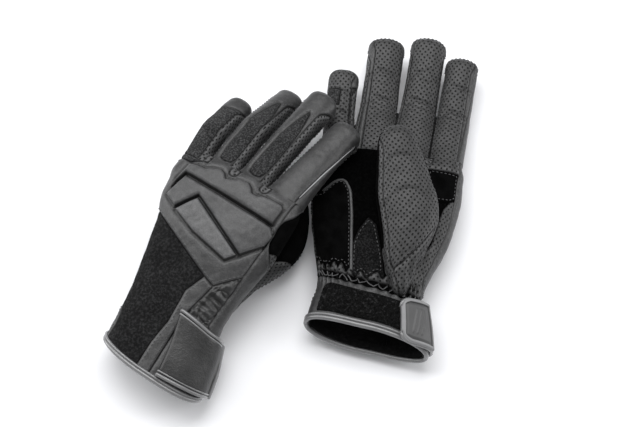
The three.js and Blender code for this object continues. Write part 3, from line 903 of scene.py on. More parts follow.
def sew(glove, name, skin, surface, body, relief, lift=0.0, roll=2.2, depth=0.9, thick=2.0, seamed=None,
        stitches=None, pattern=None, fine=False, grooves=None, replaces=()):
    """Finishes a piece cut from the skin: its sewn edges roll inwards, and it gets folds and a thickness.

    relief is the height its folds add. seamed is true where its edge is sewn, stitches where sewing shows.
    pattern lays it out flat for its material, and grooves is the distance to the nearest groove in it, along
    which the materials paint shade as at a seam.
    """
    data, triangles = refine(*skin) if fine else skin
    points, normals = data[:, :3], unit(data[:, 3:6])
    rim = rim_edges(triangles)
    seam = rim if seamed is None else rim[seamed(points[rim[:, 0]])]
    edge = np.full(len(points), FAR_FROM_SEAM)
    if len(seam):
        targets = np.concatenate([points[seam[:, 0]], points[seam].mean(axis=1)])
        edge = nearest_distance(points, targets)
    fall = 1 - np.clip(edge / roll, 0, 1)
    height = lift - depth * fall ** 2 + relief(points)
    placed = points + normals * height[:, None]
    if stitches is not None:
        gather_threads(glove, body, placed, normals, triangles, edge, stitches)
    # grooves pull the seam distance down, so the materials paint seam shade along them, with the rim
    # highlight beside it
    if grooves is not None:
        edge = np.minimum(edge, grooves(points))
    n = len(points)
    ids, back = np.unique(rim, return_inverse=True)
    back = back.reshape(-1, 2)
    m = len(ids)
    top = n + back
    low = n + m + back
    skirt = halves(np.stack([top[:, 1], top[:, 0], low[:, 0], low[:, 1]], 1))
    inner = placed[ids] - normals[ids] * thick
    all_points = np.concatenate([placed, placed[ids], inner])
    all_triangles = np.concatenate([triangles, skirt])
    pick = np.concatenate([np.arange(n), ids, ids])
    laid = (pattern or glove.lay)(points)[pick]
    edges = edge[pick].copy()
    # the skirts count as lying on the seam, so the materials paint them with full seam shade
    edges[n:] = 0
    loose = np.setdiff1d(ids, np.unique(seam))
    facing = (loose, normals[loose]) if len(loose) else None
    full_name = f"{glove.side}_{name}"
    piece = put(glove, full_name, all_points, all_triangles, surface, facing, edge=edges, pattern=laid)
    return settle_on(piece, glove, body, replaces)


# ------------------------------------------------------------------ where the panels meet
# Outlines on the hand: x in units of the half width at the knuckles from the hand's middle, y in millimetres.
BAND_EDGE = [(0.77, 112), (0.73, 104), (0.73, 82), (0.71, 65), (0.69, 52), (0.67, 41), (0.65, 24), (0.62, 10),
             (0.62, 0)]
BAND = BAND_EDGE + [(0.66, -8), (3, -8), (3, 112)]
BACK = [(-3, 98), (0.2, 28), (0.38, 25), (0.67, 41)] + BAND_EDGE[4::-1] + [(0.77, 140), (-3, 140)]
STRIP = [(0.03, -90), (0.04, -31), (0.09, -12), (0.07, 13), (0.2, 28), (0.38, 24.5), (0.28, 4), (0.25, -12),
         (0.25, -90)]
GUSSET = [(0.38, 25), (0.67, 41)] + BAND_EDGE[6:] + [(0.66, -4), (0.26, -4), (0.28, 4)]
LITTLE_BACK = [(-3, 95), (-0.95, 96), (-0.76, 101.5), (-0.7, 101), (-0.69, 130), (-3, 130)]
PAD_HEIGHT = 3.3
PAD_CORNER = 2.8
PAD_GAP = 0.5  # between a pad's edge and its outline
PADS = {
    "pad_upper": [(-1.0, 68), (-0.87, 86.5), (0.64, 84), (0.66, 98), (0.6, 100.5), (0.4, 100.5),
                  (0.28, 99.5), (0.22, 97.5), (0.14, 97.5), (0.09, 100.5), (0.01, 103), (-0.12, 102),
                  (-0.2, 99.5), (-0.31, 97.5), (-0.37, 100.5), (-0.45, 102), (-0.58, 99.5), (-0.66, 97),
                  (-0.79, 96.5), (-0.92, 95), (-0.98, 79)],
    "pad_chevron": [(-0.98, 66.5), (-0.74, 60.5), (-0.51, 76), (0.47, 53), (0.71, 68), (0.74, 77), (0.64, 83),
                    (-0.865, 85.5)],
    "pad_lower": [(-0.735, 59.5), (-0.3, 51), (0.33, 44.5), (0.46, 52.6), (-0.505, 75.4)],
}
PALM_FRONT = [(-3, 103), (-0.75, 104), (-0.3, 110), (0.05, 106), (0.27, 98), (0.5, 97), (3, 97), (3, 160),
              (-3, 160)]
PALM_BASE = [(3, 78), (0.86, 74), (0.77, 66), (0.7, 52), (0.66, 36), (0.4, 18), (0.16, 3), (0.12, -20),
             (3, -20)]
PALM_MIDDLE = [(-0.31, -20), (-0.33, 6), (-0.36, 28), (-0.3, 40), (-0.2, 50), (-0.08, 45), (0.05, 22),
               (0.12, 3), (0.1, -20)]
PALM_HEEL = [(-3, 60), (-0.85, 67.7), (-0.7, 77), (-0.58, 79), (-0.48, 70), (-0.42, 52), (-0.37, 28),
             (-0.32, 6), (-0.31, -20), (-3, -20)]
THENAR = [(0.5, 97), (0.92, 98), (0.93, 76), (0.83, 72), (0.6, 70), (0.5, 80)]
# Lines on the fingers, in millimetres: the first is rows along and across, the others are across and along.
INDEX_LINE = [(0, 8.8), (18, 9.2), (40, 10.2), (60, 11.0), (78, 11.7), (97, 13)]
GRIP_PATCH = [(-14, 48.5), (-1.6, 47.5), (-1.3, 60), (-14, 61.5)]
LEAF = [(-5.8, 19), (-4.6, 16.5), (0, 15.5), (4, 17), (6, 22), (6.5, 35), (6.3, 50), (4.9, 63), (3, 72),
        (1.4, 79), (0.3, 82), (-0.8, 80), (-3.2, 70), (-5.8, 52), (-6.6, 35), (-6.6, 25)]


def wrist_row(angle):
    """The row that the elastic follows round the wrist."""
    return -1 - 7 * np.cos(np.radians(angle))


def free_edge(p):
    """True where a panel's edge is sewn, and not where it runs on into a finger."""
    return p[:, 1] < FREE_ROW


class Panels:
    """Cuts one glove's skin into its panels and finishes each of them."""

    def __init__(self, glove):
        self.glove = glove
        self.middle, self.half = glove.spec["pattern"]

    def scaled(self, outline):
        return [(self.middle + u * self.half, y) for u, y in outline]

    def inside(self, data, outline, margin=0.0):
        return polygon_distance(data[:, :2], self.scaled(outline)) + margin

    def wrist(self, p):
        return wrist_row(self.glove.angle(p))

    def palm_share(self, p):
        """1 on the palm, falling to 0 towards the back."""
        return smoothstep(0, 30, 83 - abs(wrap(self.glove.angle(p) + 92)))

    def arc(self, p):
        """Distance round the wrist from the middle of the palm."""
        return wrap(self.glove.angle(p) + 90) * MM_PER_DEGREE

    def hand_relief(self, p):
        """Height that the folds and gathers of the hand add to its skin."""
        seed = {"left": 11, "right": 23}[self.glove.side]
        soft = 0.5 * wave_noise(p, 34, seed) + 0.16 * wave_noise(p, 13, seed + 5, 2)
        away = p[:, 1] - self.wrist(p)
        palm = self.palm_share(p)
        arc = self.arc(p)
        ripple = np.sin(arc * 2 * math.pi / GATHER_PITCH + 1.2 * np.sin(p[:, 1] / 7) + 0.8 * np.sin(arc / 5))
        reach = np.where(away > 0, 11.0, 7.0)
        gather = palm * (1.5 * np.exp(-(away / reach) ** 2) * ripple - 1.6 * np.exp(-(away / 2.6) ** 2))
        creases = 0.7 * palm * np.exp(-((p[:, 1] - 30) / 26) ** 2)
        creases = creases * wave_noise(p * [1.6, 0.5, 1], 17, seed + 1)
        gusset = np.clip(1 - (self.inside(p, GUSSET) + 3) / 5, 0, 1) * (p[:, 2] > 0)
        crinkle = gusset * (0.8 * wave_noise(p * [0.8, 1.25, 1], 12, seed + 2, 2) + 3.6 * self.crumple(p))
        return soft + gather + creases + crinkle

    def crumple(self, p):
        """Height of crumpled leather: 0 along a net of sharp creases, up to 0.4 between them."""
        nets = [abs(wave_noise(p, size, seed, 1)) for size, seed in ((21, 71), (17, 72), (25, 73))]
        return np.minimum(np.min(nets, axis=0), 0.4)

    def finger_relief(self, name):
        """Height that its folds add to a finger's skin."""
        g, f = self.glove, self.glove.fingers[name]

        def relief(p):
            x, s, z = g.finger_coordinates(p, name)
            soft = 0.3 * wave_noise(p, 20, 31)
            under = smoothstep(-2, -8, z)
            bends = [f["l1"], f["l1"] + f["l2"] * 0.42]
            folds = sum(np.exp(-((s - at + 0.04 * x * x - 3) / 1.7) ** 2) for at in bends)
            near = sum(np.exp(-((s - at) / 9) ** 2) for at in bends)
            small = 0.25 * np.sin(s * 2 * math.pi / 5.5 + 2 * np.sin(x / 5)) * near
            return soft * smoothstep(6, 14, s) - under * 0.7 * folds + small * (0.12 + 0.88 * under)
        return relief

    def fingers(self, skin):
        """Makes the fingers and returns the rest of the skin."""
        rest = skin
        for name in FINGERS:
            p = rest[0][:, :3]
            fields = {other: self.glove.finger_field(p, other) for other in FINGERS}
            own = fields[name] - np.min([fields[o] for o in FINGERS if o != name], axis=0)
            part, rest = split(rest, np.maximum(own, FINGER_ROW[name] - p[:, 1]))
            self.finger(name, part)
        return rest

    def finger(self, name, skin):
        g, f = self.glove, self.glove.fingers[name]
        length = f["l1"] + f["l2"]
        start = FINGER_ROW[name]
        height, tilt = FRONT_SEAM[name]

        def coordinates(skin):
            return g.finger_coordinates(skin[0][:, :3], name)

        def beyond_root(p):
            return p[:, 1] > start + 0.4

        def lay(p):
            x, s, z = g.finger_coordinates(p, name)
            return np.stack([unrolled(x, z, f["h"]), s, z], axis=1)

        def front_seam(skin):
            x, s, z = coordinates(skin)
            rolled = height - tilt * x / f["w"] * (1 - smoothstep(length - 14, length - 4, s))
            return z + rolled * f["h"] * g.taper(name, s)

        def gap_side(skin):
            x, s, _ = coordinates(skin)
            half = g.half_width(name, x, s)
            side = {"little": half - x, "index": half + x}.get(name, half - abs(x))
            lean = 3.3 + g.spec["lean"] * np.sign(x)
            width = lean * (1 - smoothstep(length - 24, length - 12, s)) - 0.05
            return side - width

        def in_outline(skin, outline):
            x, s, _ = coordinates(skin)
            return polygon_distance(np.stack([x, s], 1), outline)

        front, rest = split(skin, front_seam(skin))
        sides, back = split(rest, gap_side(rest))
        relief = self.finger_relief(name)
        options = dict(relief=relief, pattern=lay, seamed=beyond_root)
        if name == "little":
            patch, front = split(front, in_outline(front, GRIP_PATCH))
            sew(g, "little_grip_patch", patch, "inset", name, lift=0.5, fine=True, roll=1.2, **options)
        sew(g, f"{name}_front", front, "perforated", name, lift=0.15, depth=1.0,
            stitches=lambda p: beyond_root(p) & (p[:, 1] < start + 70),
            replaces=[f"{name}_proximal", f"{name}_distal"], **options)
        sew(g, f"{name}_fourchette", sides, "fourchette", name, lift=-0.25, depth=0.4, roll=1.4, **options)
        if name == "little":
            x, s, _ = coordinates(back)
            cap, cloth = split(back, (61 + 0.2 * x) - s)
            sew(g, "little_cap", cap, "leather", name, lift=0.35, fine=True, **options)
            sew(g, "little_back", cloth, "inset", name, depth=0.7, **options)
            return
        if name == "index":
            x, s, _ = coordinates(back)
            (line,) = smooth_table(INDEX_LINE, s)
            band, back = split(back, line - x)
            sew(g, "index_side", band, "leather", name, **options)
            self.index_piping()
        if name in ("ring", "middle"):
            leaf, back = split(back, in_outline(back, LEAF))
            sew(g, f"{name}_leaf", leaf, "inset", name, relief, lift=-0.15, depth=0.5, roll=1.5, pattern=lay,
                fine=True, replaces=[f"{name}_inset"])
        sew(g, f"{name}_back", back, "leather", name, lift=0.35, depth=1.1, roll=2.4, stitches=beyond_root,
            **options)

    def index_piping(self):
        """A thin cord let into the seam on the thumb side of the index finger, its pale colour partly a
        painted highlight.
        """
        g, f = self.glove, self.glove.fingers["index"]
        s = np.linspace(20, 80, 60)
        (x,) = smooth_table(INDEX_LINE, s)
        near = f["root"] + np.stack([x, s, 0 * s], 1) @ f["near"].T
        far = f["bend"] + np.stack([x, s - f["l1"], 0 * s], 1) @ f["far"].T
        share = smoothstep(f["l1"] - 5, f["l1"] + 5, s)[:, None]
        up = f["near"][:, 2] * (1 - share) + f["far"][:, 2] * share
        inner = near * (1 - share) + far * share + up * 3
        path = onto_skin(g.body_field, inner, inner + up * 12) + up * 0.15
        points, triangles = sweep(path, 0.5 * np.sin(np.linspace(0.15, 3.0, 60)) ** 0.3, 8)
        settle_on(put(g, f"{g.side}_index_piping", points, triangles, "light_piping"), g, "index")

    def crotches(self, skin):
        """The pieces let in between neighbouring fingers, each ending in a U."""
        g = self.glove
        rest = skin
        for low, high in zip(FINGERS[:-1], FINGERS[1:]):
            spots = []
            for y in (105.0, 125.0):
                x = []
                for name, way in ((low, 1), (high, -1)):
                    f = g.fingers[name]
                    root, along = f["root"], f["near"][:, 1]
                    x.append(root[0] + along[0] / along[1] * (y - root[1]) + way * f["w"])
                spots.append((sum(x) / 2, y))
            slot = path_distance(rest[0][:, :2], spots) - 3.4
            web, rest = split(rest, slot)
            sew(g, f"{low}_{high}_web", web, "fourchette", "hand", self.hand_relief, lift=-0.2, depth=0.5,
                roll=1.4, fine=True, seamed=free_edge)
        return rest

    def hand(self, skin):
        g = self.glove
        p = skin[0][:, :3]
        turn = wrap(g.angle(p) - PALM_MIDDLE_ANGLE)
        raised = g.spec["saddle"] * smoothstep(44, 74, p[:, 1]) * (1 - smoothstep(88, 114, p[:, 1]))
        wrapped = 34 * smoothstep(-8, -26, p[:, 1])
        sides = np.maximum(turn - PALM_HALF_ANGLE - raised, -PALM_HALF_ANGLE - wrapped - turn)
        palm, back = split(skin, 0.6 * sides)
        if g.spec["saddle"]:
            palm = self.saddle(palm)
        self.back(back)
        self.palm(palm)

    def panel(self, name, skin, surface, **options):
        return sew(self.glove, name, skin, surface, "hand", **{"relief": self.hand_relief, **options})

    def on_leather(self, p):
        """True clear of the hem and of the fingers."""
        g = self.glove
        return (p[:, 1] > g.hem(g.angle(p)) + 3) & free_edge(p)

    def saddle(self, palm):
        """The suede let in beside the thumb. Returns the rest of the palm."""
        turn = wrap(self.glove.angle(palm[0][:, :3]) - PALM_MIDDLE_ANGLE)
        side, palm = split(palm, 0.6 * (PALM_HALF_ANGLE - 3 - turn))
        x, y = side[0][:, :2].T
        lens, rest = split(side, -np.minimum(y - (66 + 0.7 * (x - 39)), FREE_ROW - y))
        self.panel("thumb_saddle", lens, "suede")
        self.panel("thumb_side_lower", rest, "perforated", seamed=free_edge)
        return palm

    def back(self, back):
        def pad_distance(p):
            return np.array([self.inside(p, outline) for outline in PADS.values()])

        def moat(p):
            return self.hand_relief(p) - (0.9 * np.exp(-((pad_distance(p) - 0.6) / 1.3) ** 2)).sum(axis=0)

        little, back = split(back, self.inside(back[0], LITTLE_BACK))
        self.panel("little_root", little, "inset", seamed=free_edge)
        band, back = split(back, self.inside(back[0], BAND))
        self.panel("thumb_side_band", band, "leather", depth=1.0, stitches=self.on_leather, seamed=free_edge)
        leather_back, back = split(back, self.inside(back[0], BACK))
        # through grooves, painted shade runs round the pads in their moat, with the rim highlight beside it
        self.panel("back_leather", leather_back, "leather", relief=moat, lift=0.3, depth=1.1, fine=True,
                   seamed=free_edge, stitches=free_edge, replaces=["back_panel"],
                   grooves=lambda p: 0.55 * abs(pad_distance(p)).min(axis=0))
        for name, outline in PADS.items():
            self.pad(name, outline, leather_back)
        strip, back = split(back, self.inside(back[0], STRIP))
        self.panel("cuff_strip", strip, "leather", lift=0.3, stitches=self.on_leather, replaces=["cuff_back"])
        gusset, back = split(back, self.inside(back[0], GUSSET))
        # through grooves, the strap leather paints shade along the crumple creases
        self.panel("crinkled_gusset", gusset, "strap", fine=True,
                   grooves=lambda p: 0.25 + 4 * self.crumple(p))
        right, left = split(back, self.middle + 0.2 * self.half - back[0][:, 0])
        self.panel("cuff_side", right, "leather")
        self.panel("side_stretch", left, "textile", lift=-0.15, depth=0.5, replaces=["side_textile"])

    def palm(self, palm):
        above, cuff = split(palm, self.wrist(palm[0][:, :3]) + ELASTIC_HALF - palm[0][:, 1])
        elastic, cuff = split(cuff, self.wrist(cuff[0][:, :3]) - ELASTIC_HALF - cuff[0][:, 1])
        self.panel("gathered_elastic", elastic, "suede", lift=-0.3, depth=0.3, roll=1.0, fine=True,
                   replaces=["wrist_elastic"])
        self.panel("cuff_palm_leather", cuff, "leather", stitches=self.on_leather, replaces=["cuff_palm"])
        p = above[0][:, :3]
        arc = self.arc(p)
        waves = 2.5 * np.sin(arc * 2 * math.pi / GATHER_PITCH) + 2 * np.sin(arc / 4.3)
        puckers, above = split(above, p[:, 1] - (self.wrist(p) + 6.5 + waves))
        self.panel("wrist_puckers", puckers, "perforated", lift=0.2, depth=0.8, fine=True)
        front, above = split(above, self.inside(above[0], PALM_FRONT))
        self.panel("palm_front", front, "perforated", lift=0.3, seamed=free_edge)
        patches = [("thenar_patch", THENAR, "suede", 0.2), ("palm_base", PALM_BASE, "perforated", 0.2),
                   ("palm_heel", PALM_HEEL, "suede", 0.5), ("palm_middle", PALM_MIDDLE, "palm_knit", 0.0)]
        for name, outline, surface, lift in patches:
            patch, above = split(above, self.inside(above[0], outline))
            self.panel(name, patch, surface, lift=lift, depth=0.9 + lift, stitches=free_edge)
        self.panel("palm_leather", above, "palm_textile", seamed=free_edge, replaces=["palm_panel"])
        self.heel_welt()
        self.zigzag()

    def pad(self, name, outline, panel):
        """A foam pad that stands up out of the back, rounded over at its edge."""
        height, corner, fillet = PAD_HEIGHT, PAD_CORNER, PAD_GAP + 0.05

        def outside(p, margin):
            middle, half, _ = self.glove.section(p[:, 1])
            return np.maximum(self.inside(p, outline), abs(p[:, 0] - middle) - 0.955 * half) + margin

        def puff(p):
            share = np.clip(-outside(p, fillet) / corner, 0, 1)
            raised = height * np.sqrt(1 - (1 - share) ** 2) + 0.25 * wave_noise(p, 26, 5) - 0.1
            return raised + self.hand_relief(p)

        part = refine(*clip(*panel, outside(panel[0], -1.5)))
        part = clip(*part, outside(part[0], PAD_GAP))
        surface = "pad_low" if name == "pad_lower" else "pad"
        piece = self.panel(f"knuckle_{name}", part, surface, relief=puff, depth=0.0, thick=1.2,
                           replaces=[name])

    def zigzag(self):
        """The zigzag stitch that holds the wrist elastic."""
        g = self.glove
        turn = np.linspace(-172, -8, 320)
        row = wrist_row(turn) + 1.9 * (abs((turn / 4.2) % 2 - 1) * 2 - 1)
        path = g.skin(turn, row, 0.0)
        path = path + outward(g, path) * (self.hand_relief(path) + 0.15)[:, None]
        points, triangles = sweep(path, 0.42, 6)
        settle_on(put(g, f"{g.side}_elastic_zigzag", points, triangles, "thread"), g, "hand")

    def heel_welt(self):
        """A rounded welt along the edge of the heel patch of the palm."""
        g = self.glove
        path = resample(np.array(self.scaled(PALM_HEEL[1:8]), float), 1.2)
        columns = [np.pad(path[:, k], 3, mode="edge") for k in (0, 1)]
        soft = np.stack([np.convolve(column, np.ones(7) / 7, mode="valid") for column in columns], 1)
        inner, outer = (np.column_stack([soft, np.full(len(soft), height)]) for height in (-3.0, -24.0))
        path = onto_skin(g.hand_field, inner, outer)
        path[:, 2] -= self.hand_relief(path) - 0.2
        points, triangles = sweep(path, 1.15, 10)
        # 2 mm from a seam puts the whole welt in the leather's painted rim highlight, so it shows paler
        edge = np.full(len(points), 2.0)
        piece = put(g, f"{g.side}_heel_welt", points, triangles, "leather", edge=edge, pattern=points)
        settle_on(piece, g, "hand")


# ------------------------------------------------------------------ the thumb
def make_thumb(g):
    def coordinates(skin):
        return g.thumb_axes(skin[0][:, :3])

    def lay(p):
        u, s, w, _, b = g.thumb_axes(p)
        return np.stack([unrolled(u, w, b), s, w], axis=1)

    def relief(p):
        u, s, w, _, _ = g.thumb_axes(p)
        folds = sum(np.exp(-((s - at + 0.03 * u * u - 2) / 2.2) ** 2) for at in (62, 88))
        puckers = np.exp(-((s - 4) / 12) ** 2) * np.sin(u * 2 * math.pi / 6.5)
        return 0.45 * wave_noise(p, 26, 41) - 0.6 * folds * smoothstep(-2, -8, w) + 0.7 * puckers

    skin = skin_of(g.thumb_field, (-64, -12, -64), (74, 136, 8))
    _, _, w, _, b = coordinates(skin)
    front, back = split(skin, w + 0.35 * b)
    u, s, _, a, _ = coordinates(front)
    strip, main = split(front, u + a - 4.2 + 4 * smoothstep(95, 112, s))
    u, s, _, _, _ = coordinates(main)
    base, main = split(main, s - 12 - 0.8 * u - 0.018 * u * u)
    u, s, _, _, _ = coordinates(back)
    heel, back = split(back, s - 54 - (u - 10.5))
    options = dict(relief=relief, pattern=lay)
    sew(g, "thumb_front", main, "perforated", "thumb", lift=0.3, depth=1.2, stitches=lambda p: p[:, 1] > 4,
        replaces=["thumb_palm"], **options)
    sew(g, "thumb_base", base, "perforated", "thumb", depth=1.0, **options)
    sew(g, "thumb_edge", strip, "perforated", "thumb", depth=0.8, **options)
    sew(g, "thumb_outside_base", heel, "perforated", "thumb", depth=0.8, **options)
    sew(g, "thumb_outside", back, "suede", "thumb", depth=0.8, replaces=["thumb_back"], **options)


# ------------------------------------------------------------------ strips laid round the cuff
STRAP_SEAM, STRAP_FOLD, STRAP_END = 82, 11, -63  # degrees round the cuff


def rounded_corner(to_end, radius):
    """How far a corner has drawn in, where to_end goes from 0 at the end of a strip to 1."""
    return radius * (1 - np.sqrt(1 - (1 - np.clip(to_end, 0, 1)) ** 2))


def strap_edge(g, share):
    """The row a given share of the way up the strap, whose loose end has rounded corners."""
    def edge(angle):
        low, high = smooth_table(g.spec["strap"], np.ravel(angle), 6.0)
        corner = rounded_corner((np.ravel(angle) - STRAP_END) / 12, 7.0)
        low, high = low + corner, high - corner
        return (low + (high - low) * share).reshape(np.shape(angle))
    return edge


def flat_top(along, across, rim):
    return 0 * rim


def plate(g, angles, low, high, layer, corner, steps, relief=flat_top):
    """A closed, soft-edged strip between two rows, from one height above the cuff to another."""
    count, rows = steps
    share = np.linspace(0, 1, rows)
    turn = np.linspace(angles[0], angles[1], count)
    a, v = np.meshgrid(turn, share, indexing="ij")
    y = low(a) + (high(a) - low(a)) * v
    flat = g.skin(a, y, layer[1])
    across = np.linalg.norm(flat - flat[:, :1], axis=2)
    lengths = np.linalg.norm(np.diff(flat[:, rows // 2], axis=0), axis=1)
    along = np.concatenate([[0], np.cumsum(lengths)])[:, None] + 0 * v
    rim = np.minimum(np.minimum(across, across[:, -1:] - across), np.minimum(along, along[-1] - along))
    top_height = layer[1] - rounded_corner(rim / corner, 1) * (layer[1] - layer[0]) * 0.75
    top_height = top_height + relief(along, across, rim)
    top, under = g.skin(a, y, top_height), g.skin(a, y, layer[0])
    quads = sheet_faces(count, rows)
    n = count * rows
    ring = np.concatenate([np.arange(rows), np.arange(1, count) * rows + rows - 1,
                           (count - 1) * rows + np.arange(rows - 2, -1, -1),
                           np.arange(count - 2, 0, -1) * rows])
    after = np.roll(ring, -1)
    walls = np.stack([ring, after, after + n, ring + n], 1)
    triangles = halves(np.concatenate([quads, quads[:, ::-1] + n, walls[:, ::-1]]))
    points = np.concatenate([top.reshape(-1, 3), under.reshape(-1, 3)])
    if signed_volume(points, triangles) < 0:
        triangles = triangles[:, ::-1]
    # distance from the strip's rim: by it the strap leather gets painted seam shade and rim highlight, and
    # the tab its border and painted groove shade
    edge = np.tile(rim.ravel() + 0.4, 2)
    laid = np.stack([along.ravel(), across.ravel(), 0 * across.ravel()], 1)
    return points, triangles, edge, np.concatenate([laid, laid])


def signed_volume(points, triangles):
    a, b, c = (points[triangles[:, k]] for k in range(3))
    return np.einsum("ij,ij->i", a, np.cross(b, c)).sum()


def band_piece(g, name, surface, body, *args, replaces=(), **options):
    points, triangles, edge, laid = plate(g, *args, **options)
    piece = put(g, f"{g.side}_{name}", points, triangles, surface, edge=edge, pattern=laid)
    settle_on(piece, g, body, replaces)


def cords_round(g, name, body, angles, cords, replaces):
    """Cords round the cuff that together make one piece. Each is a row, a height and a radius."""
    turn = np.linspace(*angles, 120)
    parts = [sweep(g.skin(turn, row(turn), lift), radius, 10) for row, lift, radius in cords]
    points, triangles = join(parts)
    settle_on(put(g, f"{g.side}_{name}", points, triangles, "piping"), g, body, [replaces])


def make_strap(g):
    whole = (STRAP_SEAM, STRAP_END)

    def sag(along, across, rim):
        return 0.55 * np.sin(along / 9.0 + across / 14.0) + 0.35 * np.sin(across / 6.0 + along / 19.0)

    band_piece(g, "strap_leather", "strap", "fold", whole, strap_edge(g, 0.06), strap_edge(g, 0.94),
               (1.7, 3.6), 1.6, (110, 50), relief=sag, replaces=["strap_root", "strap_flap"])
    for name, outer, inner in (("lower", 0.015, 0.07), ("upper", 0.985, 0.93)):
        cords = [(strap_edge(g, outer), 3.0, 1.35), (strap_edge(g, inner), 3.5, 0.75)]
        cords_round(g, f"strap_cords_{name}", "fold", whole, cords, f"strap_piping_{name}")

    def tab_shape(along, across, rim):
        border = smoothstep(2.3, 3.0, rim)
        panel = smoothstep(3.3, 5.0, rim)
        middle = along - along.max() / 2 + (across - across.max() / 2) * 0.25
        ribs = sum(np.exp(-((middle - k) / 0.8) ** 2) for k in (-3.4, 0.0, 3.4)) * smoothstep(6.5, 8.5, rim)
        return -1.0 * border + 0.55 * panel + 0.6 * ribs

    band_piece(g, "strap_pull_tab", "rubber", "strap", (-11, STRAP_END - 1), strap_edge(g, 0.0),
               strap_edge(g, 1.0), (3.7, 6.1), 1.3, (110, 90), relief=tab_shape, replaces=["strap_tab"])
    band_piece(g, "strap_hook", "loop", "strap", (-28, STRAP_END + 3), strap_edge(g, 0.15),
               strap_edge(g, 0.85), (1.2, 2.1), 0.5, (40, 30), replaces=["hook_patch"])


LOOP_ANGLES = (-22, -142)


def make_cuff(g):
    def fuzz(along, across, rim):
        return 0.22 * np.sin(along * 2.9 + 2 * np.sin(across * 1.7)) * np.sin(across * 3.3)

    def above_hem(height):
        return lambda angle: g.hem(angle) + height

    def loop_top(angle):
        return wrist_row(angle) - 6.5 - rounded_corner((angle - LOOP_ANGLES[1]) / 14, 8.0)

    band_piece(g, "loop_pad", "loop", "hand", LOOP_ANGLES, above_hem(3.6), loop_top, (0.1, 1.5), 0.9,
               (150, 60), relief=fuzz, replaces=["loop_patch"])
    cords = [(above_hem(-0.9), -0.8, 1.75), (above_hem(1.5), 0.1, 1.05)]
    cords_round(g, "hem_cords", "hand", (-180, 180), cords, "hem_binding")
    inner_tube(g, "lining_cloth", above_hem(5), lambda a: 85 + 0 * a, replaces=["lining"])
    inner_tube(g, "cuff_facing", above_hem(0.4), above_hem(6), lift=0.35)


def inner_tube(g, name, low, high, lift=0.0, replaces=()):
    """A cloth tube inside the hand, seen through the open cuff."""
    count, rows = 90, 60
    turn = np.linspace(-180, 180, count)
    share = np.linspace(0, 1, rows)
    a, v = np.meshgrid(turn, share, indexing="ij")
    y = low(a) + (high(a) - low(a)) * v
    points = g.skin(a, y, -2.6).reshape(-1, 3)
    wave = wave_noise(points * [1, 0.5, 1], 14, 61)
    depth = (0.5 + 1.0 * wave) * smoothstep(0.0, 0.08, v.ravel()) + lift
    points = points - outward(g, points) * np.clip(depth, -0.3, 2)[:, None]
    triangles = halves(sheet_faces(count, rows))
    laid = np.stack([a.ravel() * 0.6, y.ravel(), 0 * y.ravel()], 1)
    edge = np.full(len(points), 4.0)
    piece = put(g, f"{g.side}_{name}", points, triangles, "lining", edge=edge, pattern=laid)
    settle_on(piece, g, "hand", replaces)


def outward(g, p):
    """Directions away from the middle line of the hand."""
    middle, _, _ = g.section(p[:, 1])
    return unit(np.stack([p[:, 0] - middle, 0 * p[:, 1], p[:, 2]], 1))


def make_stitching():
    for (side, body), parts in threads.items():
        points, triangles = join(parts)
        piece = put(GLOVES[side], f"{side}_{body}_stitching", points, triangles, "thread")
        settle_on(piece, GLOVES[side], body)


# ------------------------------------------------------------------ build
STEP = 1.0


def skin_of(field, low, high):
    points, triangles = isosurface(field, low, high, STEP)
    return np.concatenate([points, normals_of(field, points)], axis=1), triangles


GLOVES = {side: Glove(side) for side in ("right", "left")}


def make_glove(g):
    data, triangles = skin_of(g.body_field, (-74, -66, -62), (74, 218, 34))
    skin = clip(data, triangles, g.hem(g.angle(data[:, :3])) - data[:, 1])
    panels = Panels(g)
    panels.hand(panels.crotches(panels.fingers(skin)))
    make_thumb(g)
    make_strap(g)
    make_cuff(g)


for glove in GLOVES.values():
    make_glove(glove)
make_stitching()


# ------------------------------------------------------------------ studio
def look_at(obj, target):
    direction = mathutils.Vector(target) - obj.location
    obj.rotation_euler = direction.to_track_quat("-Z", "Y").to_euler()


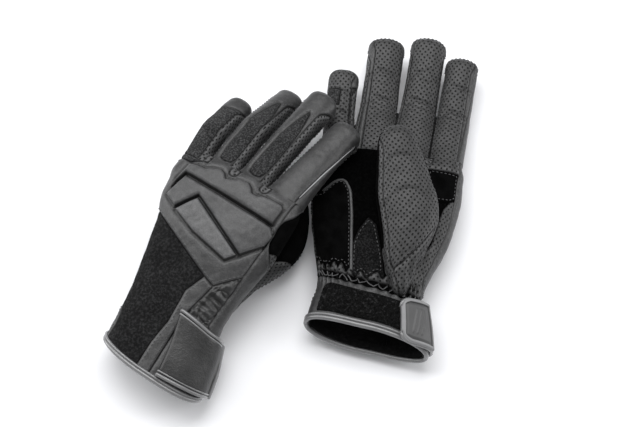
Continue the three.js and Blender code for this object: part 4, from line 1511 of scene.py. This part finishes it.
def area_light(name, place, target, size, power):
    lamp = bpy.data.lights.new(name, "AREA")
    lamp.shape = "RECTANGLE"
    lamp.size, lamp.size_y = size
    lamp.energy = power
    obj = bpy.data.objects.new(name, lamp)
    obj.location = place
    bpy.context.scene.collection.objects.link(obj)
    look_at(obj, target)
    return obj


def make_studio():
    scene = bpy.context.scene
    scene.view_settings.view_transform = "Standard"
    floor_mesh = bpy.data.meshes.new("studio floor")
    size = 6.0
    corners = [(-size, -size, 0), (size, -size, 0), (size, size, 0), (-size, size, 0)]
    floor_mesh.from_pydata(corners, [], [(0, 1, 2, 3)])
    floor = bpy.data.objects.new("studio_floor", floor_mesh)
    paper = Shader("white paper")
    floor_mesh.materials.append(paper.finish(0.86, 0.9, specular=0.1))
    scene.collection.objects.link(floor)
    world = bpy.data.worlds.new("studio")
    scene.world = world
    world.use_nodes = True
    background = world.node_tree.nodes["Background"]
    background.inputs["Color"].default_value = (1, 1, 1, 1)
    background.inputs["Strength"].default_value = 0.5
    target = (0.018, 0.003, 0.02)
    area_light("top softbox", (-0.1, 0.5, 1.3), target, (1.3, 0.9), 17)
    area_light("left softbox", (-1.1, 0.2, 0.6), target, (0.5, 1.2), 9)
    area_light("right softbox", (1.1, 0.2, 0.5), target, (0.4, 1.0), 6)


def make_camera():
    azimuth, elevation, distance = math.radians(8), math.radians(66), 1.1258
    target = np.array([0.0179, 0.0027, 0.0179])
    forward = np.array([-math.sin(azimuth), math.cos(azimuth), 0])
    back = -forward * math.cos(elevation) + np.array([0, 0, math.sin(elevation)])
    data = bpy.data.cameras.new("camera")
    data.lens = 85
    data.clip_start = 0.05
    camera = bpy.data.objects.new("camera", data)
    camera.location = target + back * distance
    bpy.context.scene.collection.objects.link(camera)
    right = np.array([math.cos(azimuth), math.sin(azimuth), 0])
    axes = np.stack([right, np.cross(back, right), back], 1)
    camera.rotation_euler = mathutils.Matrix(axes.tolist()).to_euler()
    bpy.context.scene.camera = camera


make_studio()
make_camera()
